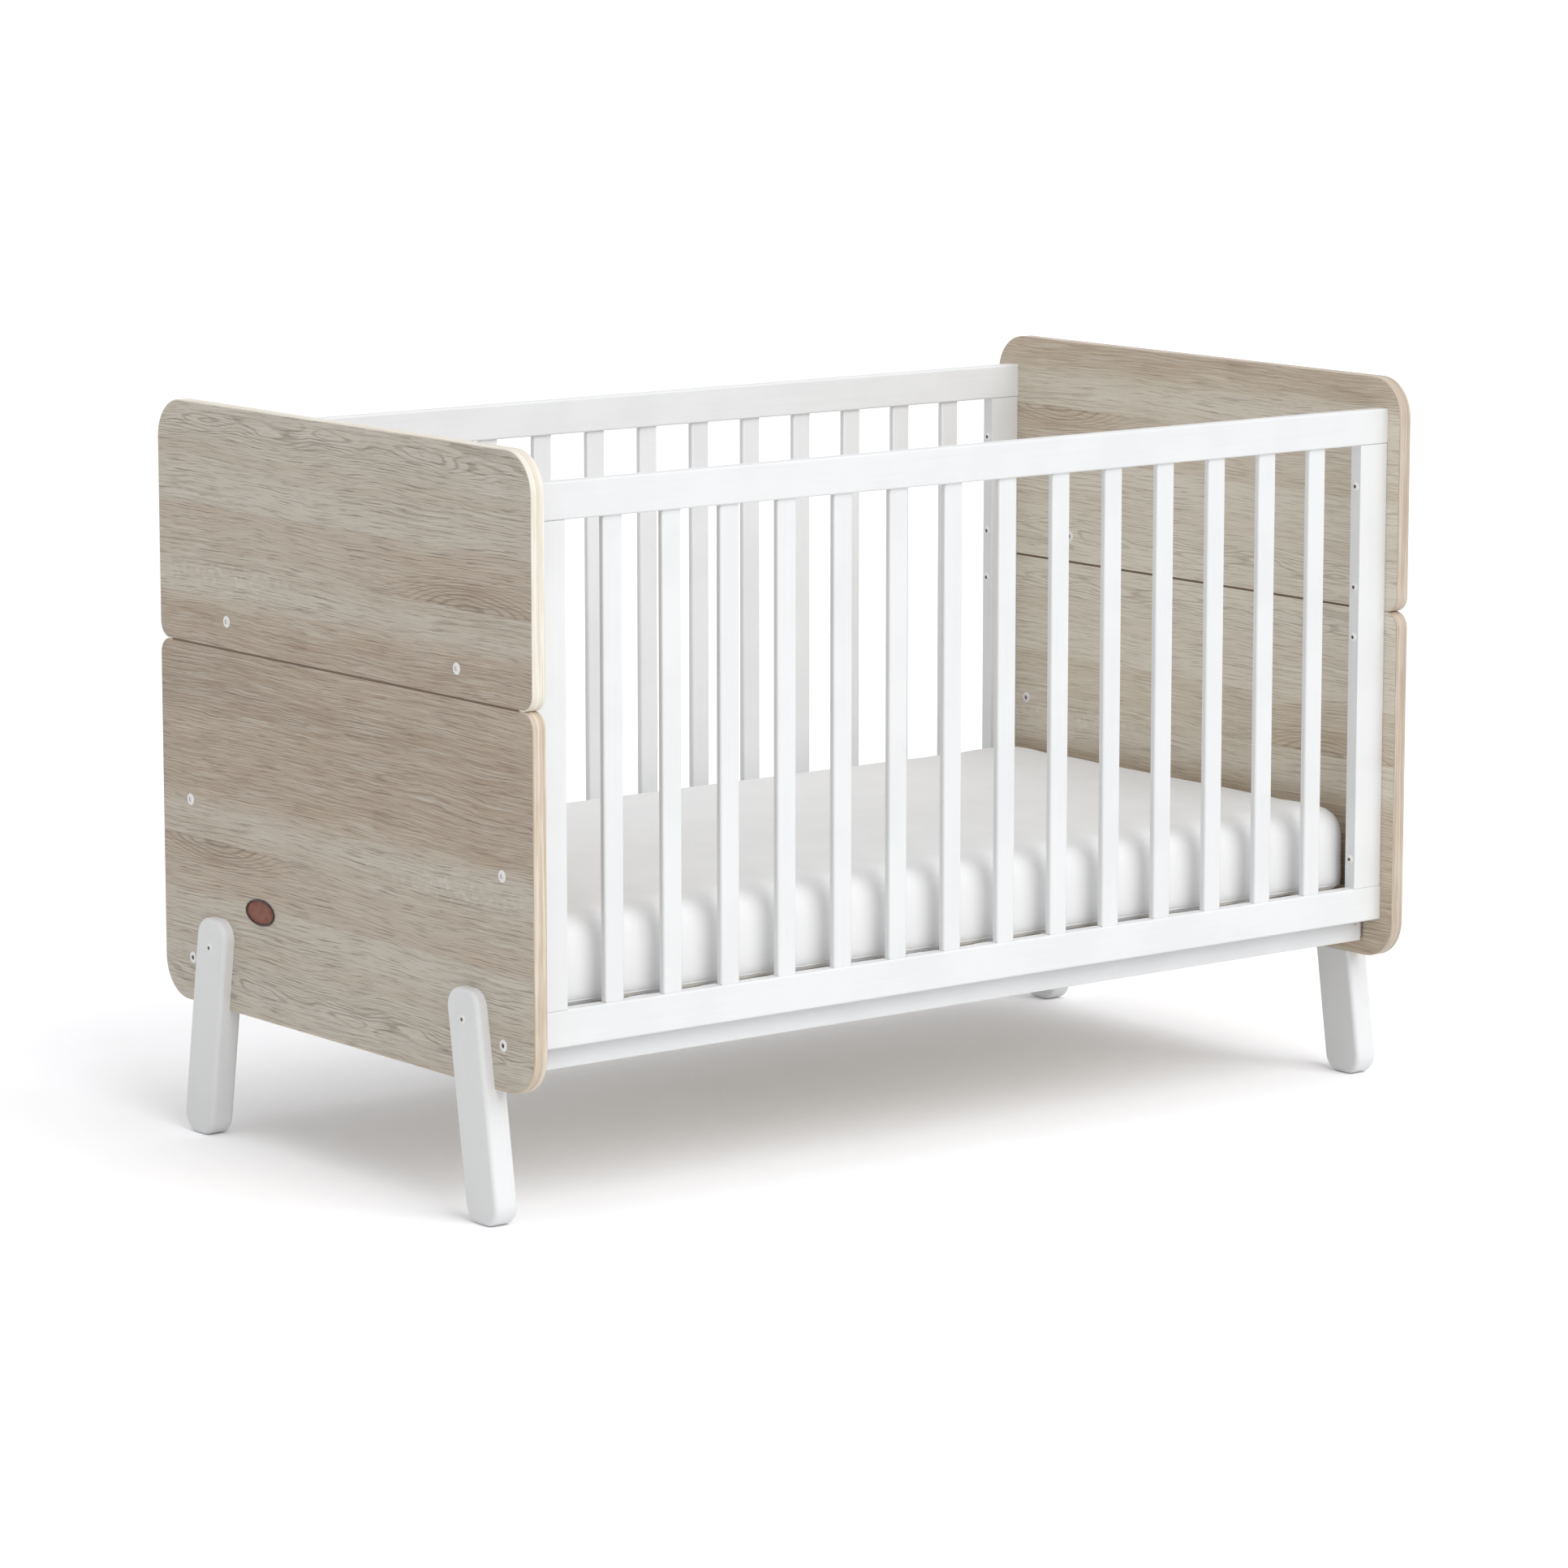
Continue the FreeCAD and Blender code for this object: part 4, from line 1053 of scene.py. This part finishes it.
# %% Mattress block
SWELL = 6.0 * MM                      # how far the cover may move out
CORNER = 38.0 * MM                    # rounding of the corners, seen from above
SOFT_EDGE = 28.0 * MM                 # rounding of the upper edge
FOOT_EDGE = 6.0 * MM                  # rounding of the lower edge, sewn nearly square
NET = 8.0 * MM                        # size of a face in the net


def rounded_outline(middle, half_x, half_y, corner, height):
    """Ring of points on a rectangle with round corners."""
    points = []
    for quarter in range(4):
        for angle in np.radians(np.linspace(0, 90, 10)) + quarter * math.pi / 2:
            centre_x = middle.x + (half_x - corner if quarter in (0, 3) else corner - half_x)
            centre_y = middle.y + (half_y - corner if quarter in (0, 1) else corner - half_y)
            x = centre_x + corner * math.cos(angle)
            y = centre_y + corner * math.sin(angle)
            points.append(Vector((x, y, height)))
    return points


def mattress_block(low, high, shrink):
    """Rounded block, smaller than the foam on every side but the underside."""
    middle = (low + high) / 2
    half = (high - low) / 2 - Vector((shrink, shrink, 0))
    rings = []
    for angle in np.radians(np.linspace(-90, 90, 13)):
        edge = FOOT_EDGE if angle < 0 else SOFT_EDGE
        centre = low.z + FOOT_EDGE if angle < 0 else high.z - shrink - SOFT_EDGE
        inset = edge * (1 - math.cos(angle))
        level = centre + edge * math.sin(angle)
        rings.append(rounded_outline(middle, half.x - inset, half.y - inset, CORNER - inset, level))
    return skin("mattress", rings)


print("block shape ready")

# %% [markdown]
# Cloth moves well only on faces of an even size. Remeshing covers the block with such a net.

# %% Net of faces on the block
mattress_low, mattress_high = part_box("mattress_cover")
mattress = add_object("mattress_pad", mattress_block(mattress_low, mattress_high, SWELL))
net = mattress.modifiers.new("net", "REMESH")
net.mode = "VOXEL"
net.voxel_size = NET
mattress.data = plain_mesh(mattress)
mattress.modifiers.clear()
print("mattress net:", len(mattress.data.polygons), "faces")

# %% [markdown]
# The cloth runs without gravity for twenty frames, with air pressure alone. The moves are read back,
# shortened to the cap and written into the mesh, so that no simulation stays on the piece.

# %% Blow the cover up
AIR_PRESSURE = 4.0                    # enough to lift the cover all round


def points_of(mesh):
    """Places of a mesh's points as an array."""
    places = np.empty(len(mesh.vertices) * 3)
    mesh.vertices.foreach_get("co", places)
    return places.reshape(-1, 3)


def blow_up(piece, cap, frames=20):
    """Swells a piece as cloth with air inside, and caps how far each point moves."""
    start = points_of(piece.data)
    cloth = piece.modifiers.new("cloth", "CLOTH")
    cloth.settings.use_pressure = True
    cloth.settings.uniform_pressure_force = AIR_PRESSURE
    cloth.settings.effector_weights.gravity = 0
    cloth.point_cache.frame_start = 1
    cloth.point_cache.frame_end = frames
    for number in range(1, frames + 1):
        scene.frame_set(number)
    swollen = piece.evaluated_get(bpy.context.evaluated_depsgraph_get()).data
    moves = points_of(swollen) - start
    reach = np.linalg.norm(moves, axis=1, keepdims=True)
    moves *= np.minimum(1, cap / np.maximum(reach, 1e-9))
    piece.modifiers.clear()
    scene.frame_set(1)
    piece.data.vertices.foreach_set("co", np.ravel(start + moves))
    return float(reach.mean())


print("the cover wanted to move", round(blow_up(mattress, SWELL) / MM, 1), "mm on average")

# %% [markdown]
# The net leaves faint ridges where its faces change size. The cover is ironed: every point above the foot
# is drawn toward its neighbours a few times, and one level of subdivision then smooths the whole. The foot
# keeps its edge, and no point may leave the foam's own box.

# %% Iron the cover
IRON_FROM = 30.0 * MM                 # above the underside
heights = points_of(mattress.data)[:, 2] - mattress_low.z
above_foot = mattress.vertex_groups.new(name="above_foot")
above_foot.add([int(number) for number in np.flatnonzero(heights > IRON_FROM)], 1.0, "REPLACE")
iron = mattress.modifiers.new("iron", "SMOOTH")
iron.factor = 0.5
iron.iterations = 12
iron.vertex_group = "above_foot"
smooth = mattress.modifiers.new("smooth", "SUBSURF")
smooth.levels = 1
smooth.render_levels = 1
cover = plain_mesh(mattress)
mattress.modifiers.clear()
mattress.data = cover
places = np.clip(points_of(cover), mattress_low, mattress_high)
cover.vertices.foreach_set("co", np.ravel(places))
cover.shade_smooth()
cover.update()
print("mattress:", len(cover.polygons), "faces, top at", round(float(places[:, 2].max()) / MM, 1), "mm")

# %% [markdown]
# ## Cover fabric
# The cover is a plain woven cotton, white, with threads about a millimetre apart. Threads on a flat face
# are two sets of waves that cross. There is one wave for each of X, Y and Z, and each fades out where the
# face looks along it, so that just two are left on every side. A slow noise makes the threads a little
# uneven, and a soft sheen lifts the edges as fine fluff does.

# %% Cover fabric
THREAD_PITCH = 1.1 * MM


def cotton_cover():
    """White woven cotton."""
    material, tree, shader = new_material(
        "cotton_cover", roughness=0.85, specular_ior_level=0.25, sheen_weight=0.12, sheen_roughness=0.5,
    )
    place = stretched(tree, (1, 1, 1))
    uneven = node(tree, "ShaderNodeTexNoise", {"Vector": place, "Scale": 260.0, "Detail": 2.0})
    sway = {0: uneven.outputs["Color"], 1: (0.5 * MM,) * 3, 2: place}
    bent = node(tree, "ShaderNodeVectorMath", sway, operation="MULTIPLY_ADD").outputs[0]
    threads = node(tree, "ShaderNodeSeparateXYZ", {0: bent}).outputs
    facing = node(tree, "ShaderNodeTexCoord").outputs["Normal"]
    facing = node(tree, "ShaderNodeSeparateXYZ", {0: facing}).outputs
    waves = []
    for axis in "XYZ":
        wave = calc(tree, "SINE", product(tree, threads[axis], 2 * math.pi / THREAD_PITCH))
        across = spread(tree, calc(tree, "ABSOLUTE", facing[axis]), 0.65, 0.95, 1.0, 0.0)
        waves.append(product(tree, wave, across))
    weave = spread(tree, total(tree, *waves), -1.6, 1.6)
    soft = noise(tree, place, 14.0, 3.0)
    tone = total(tree, product(tree, weave, 0.5), product(tree, soft, 0.5))
    colour = blend_colours(tree, spread(tree, tone, 0.25, 0.75), srgb(236, 236, 237), srgb(246, 246, 246))
    dress(tree, shader, colour, weave, 0.15 * MM, 0.5)
    return material


cotton = cotton_cover()
cover.materials.append(cotton)
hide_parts("mattress_cover", "mattress_core")
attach(mattress, "mattress")
print("threads", round(THREAD_PITCH / MM, 1), "mm apart")

# %% [markdown]
# ## Seam and stitches
# The cover's underside is sewn on just above the lower edge: a thin welt runs all round, with a row of
# stitches over it. Both follow the swollen surface, so the route is found by looking in at the mattress
# from outside, point by point.

# %% Route of the seam
SEAM_HEIGHT = 7.5 * MM                # above the underside
STITCH_RISE = 3.5 * MM                # stitches above the welt
START_OUTSIDE = 20 * MM               # where each look at the mattress starts
LOOK_DEPTH = 80 * MM                  # how far in it reaches
ROUTE_STEP = 20 * MM                  # between one look and the next


def route_round(piece, height):
    """Points on a piece's side, all round it at a height."""
    middle = (mattress_low + mattress_high) / 2
    outset = [side / 2 + START_OUTSIDE for side in mattress_high - mattress_low]
    outline = rounded_outline(middle, outset[0], outset[1], CORNER + START_OUTSIDE, height)
    route = []
    for here, after in zip(outline, outline[1:] + outline[:1]):
        steps = max(1, round((after - here).length / ROUTE_STEP))
        route += [here.lerp(after, step / steps) for step in range(steps)]
    found = []
    for here, after, before in zip(route, route[1:] + route[:1], route[-1:] + route[:-1]):
        inward = Vector((0, 0, 1)).cross(after - before).normalized()
        hit, place, _, _ = piece.ray_cast(here, inward, distance=LOOK_DEPTH)
        if hit:
            found.append(place)
    return found


seam_route = route_round(mattress, mattress_low.z + SEAM_HEIGHT)
stitch_route = route_round(mattress, mattress_low.z + SEAM_HEIGHT + STITCH_RISE)
print("seam route:", len(seam_route), "points")

# %% [markdown]
# A node group sweeps the welt along the route, or sets one stitch after another along it, each turned to
# lie along the route. A switch chooses which of the two is made.

# %% Seam group
def seam_group():
    """A round cord, or a row of stitches, along a closed loop of points."""
    tree, given = new_group("seam", {
        "Cord": "Float", "Stitch Step": "Float", "Stitch Length": "Float", "Stitch Width": "Float",
        "Stitched": "Bool", "Material": "Material",
    })
    loop = node(tree, "GeometryNodeMeshToCurve", {0: given["Mesh"]}).outputs[0]
    round_profile = {"Resolution": 8, "Radius": product(tree, given["Cord"], 0.5)}
    profile = node(tree, "GeometryNodeCurvePrimitiveCircle", round_profile, mode="RADIUS").outputs[0]
    cord = node(tree, "GeometryNodeCurveToMesh", {"Curve": loop, "Profile Curve": profile}).outputs[0]
    spacing = {"Curve": loop, "Length": given["Stitch Step"]}
    points, _, _, turns = node(tree, "GeometryNodeCurveToPoints", spacing, mode="LENGTH").outputs
    ball = node(tree, "GeometryNodeMeshUVSphere", {"Segments": 8, "Rings": 6, "Radius": 0.5}).outputs[0]
    size = node(tree, "ShaderNodeCombineXYZ", {
        0: given["Stitch Width"], 1: given["Stitch Width"], 2: given["Stitch Length"],
    }).outputs[0]
    placed = {"Points": points, "Instance": ball, "Rotation": turns, "Scale": size}
    stitches = node(tree, "GeometryNodeInstanceOnPoints", placed).outputs[0]
    choice = {"Switch": given["Stitched"], "False": cord, "True": stitches}
    chosen = node(tree, "GeometryNodeSwitch", choice, input_type="GEOMETRY").outputs[0]
    hand_out(tree, chosen, given["Material"])
    return tree


def closed_loop(name, points):
    """Mesh of points joined by edges into a loop."""
    mesh = bpy.data.meshes.new(name)
    count = len(points)
    mesh.from_pydata(points, [(step, (step + 1) % count) for step in range(count)], [])
    return mesh


print("seam group ready")

# %% [markdown]
# The welt is as thick as a piping cord, and the stitches are those of a household machine. Both are the
# cover's own cotton.

# %% Welt and stitches
seam = seam_group()
sizes = {"Cord": 1.6 * MM, "Stitch Step": 4.5 * MM, "Stitch Length": 3.2 * MM, "Stitch Width": 0.7 * MM}
seams = {"mattress_welt": (seam_route, False), "mattress_stitches": (stitch_route, True)}
for name, (route, stitched) in seams.items():
    values = {**sizes, "Stitched": stitched, "Material": cotton}
    piece = run_group(name, seam, closed_loop(name + "_route", route), values)
    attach(piece, "mattress")
    print(name, len(piece.data.polygons), "faces")

# %% [markdown]
# ## Sizes at the end
# The finished crib is measured once more. Its box is kept beside the CAD parts' own box, so that anyone can
# see that nothing sticks out.

# %% Sizes at the end
low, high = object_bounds()
print("largest step past the CAD box in mm:", round(max(max(cad_low - low), max(high - cad_high)) / MM, 2))
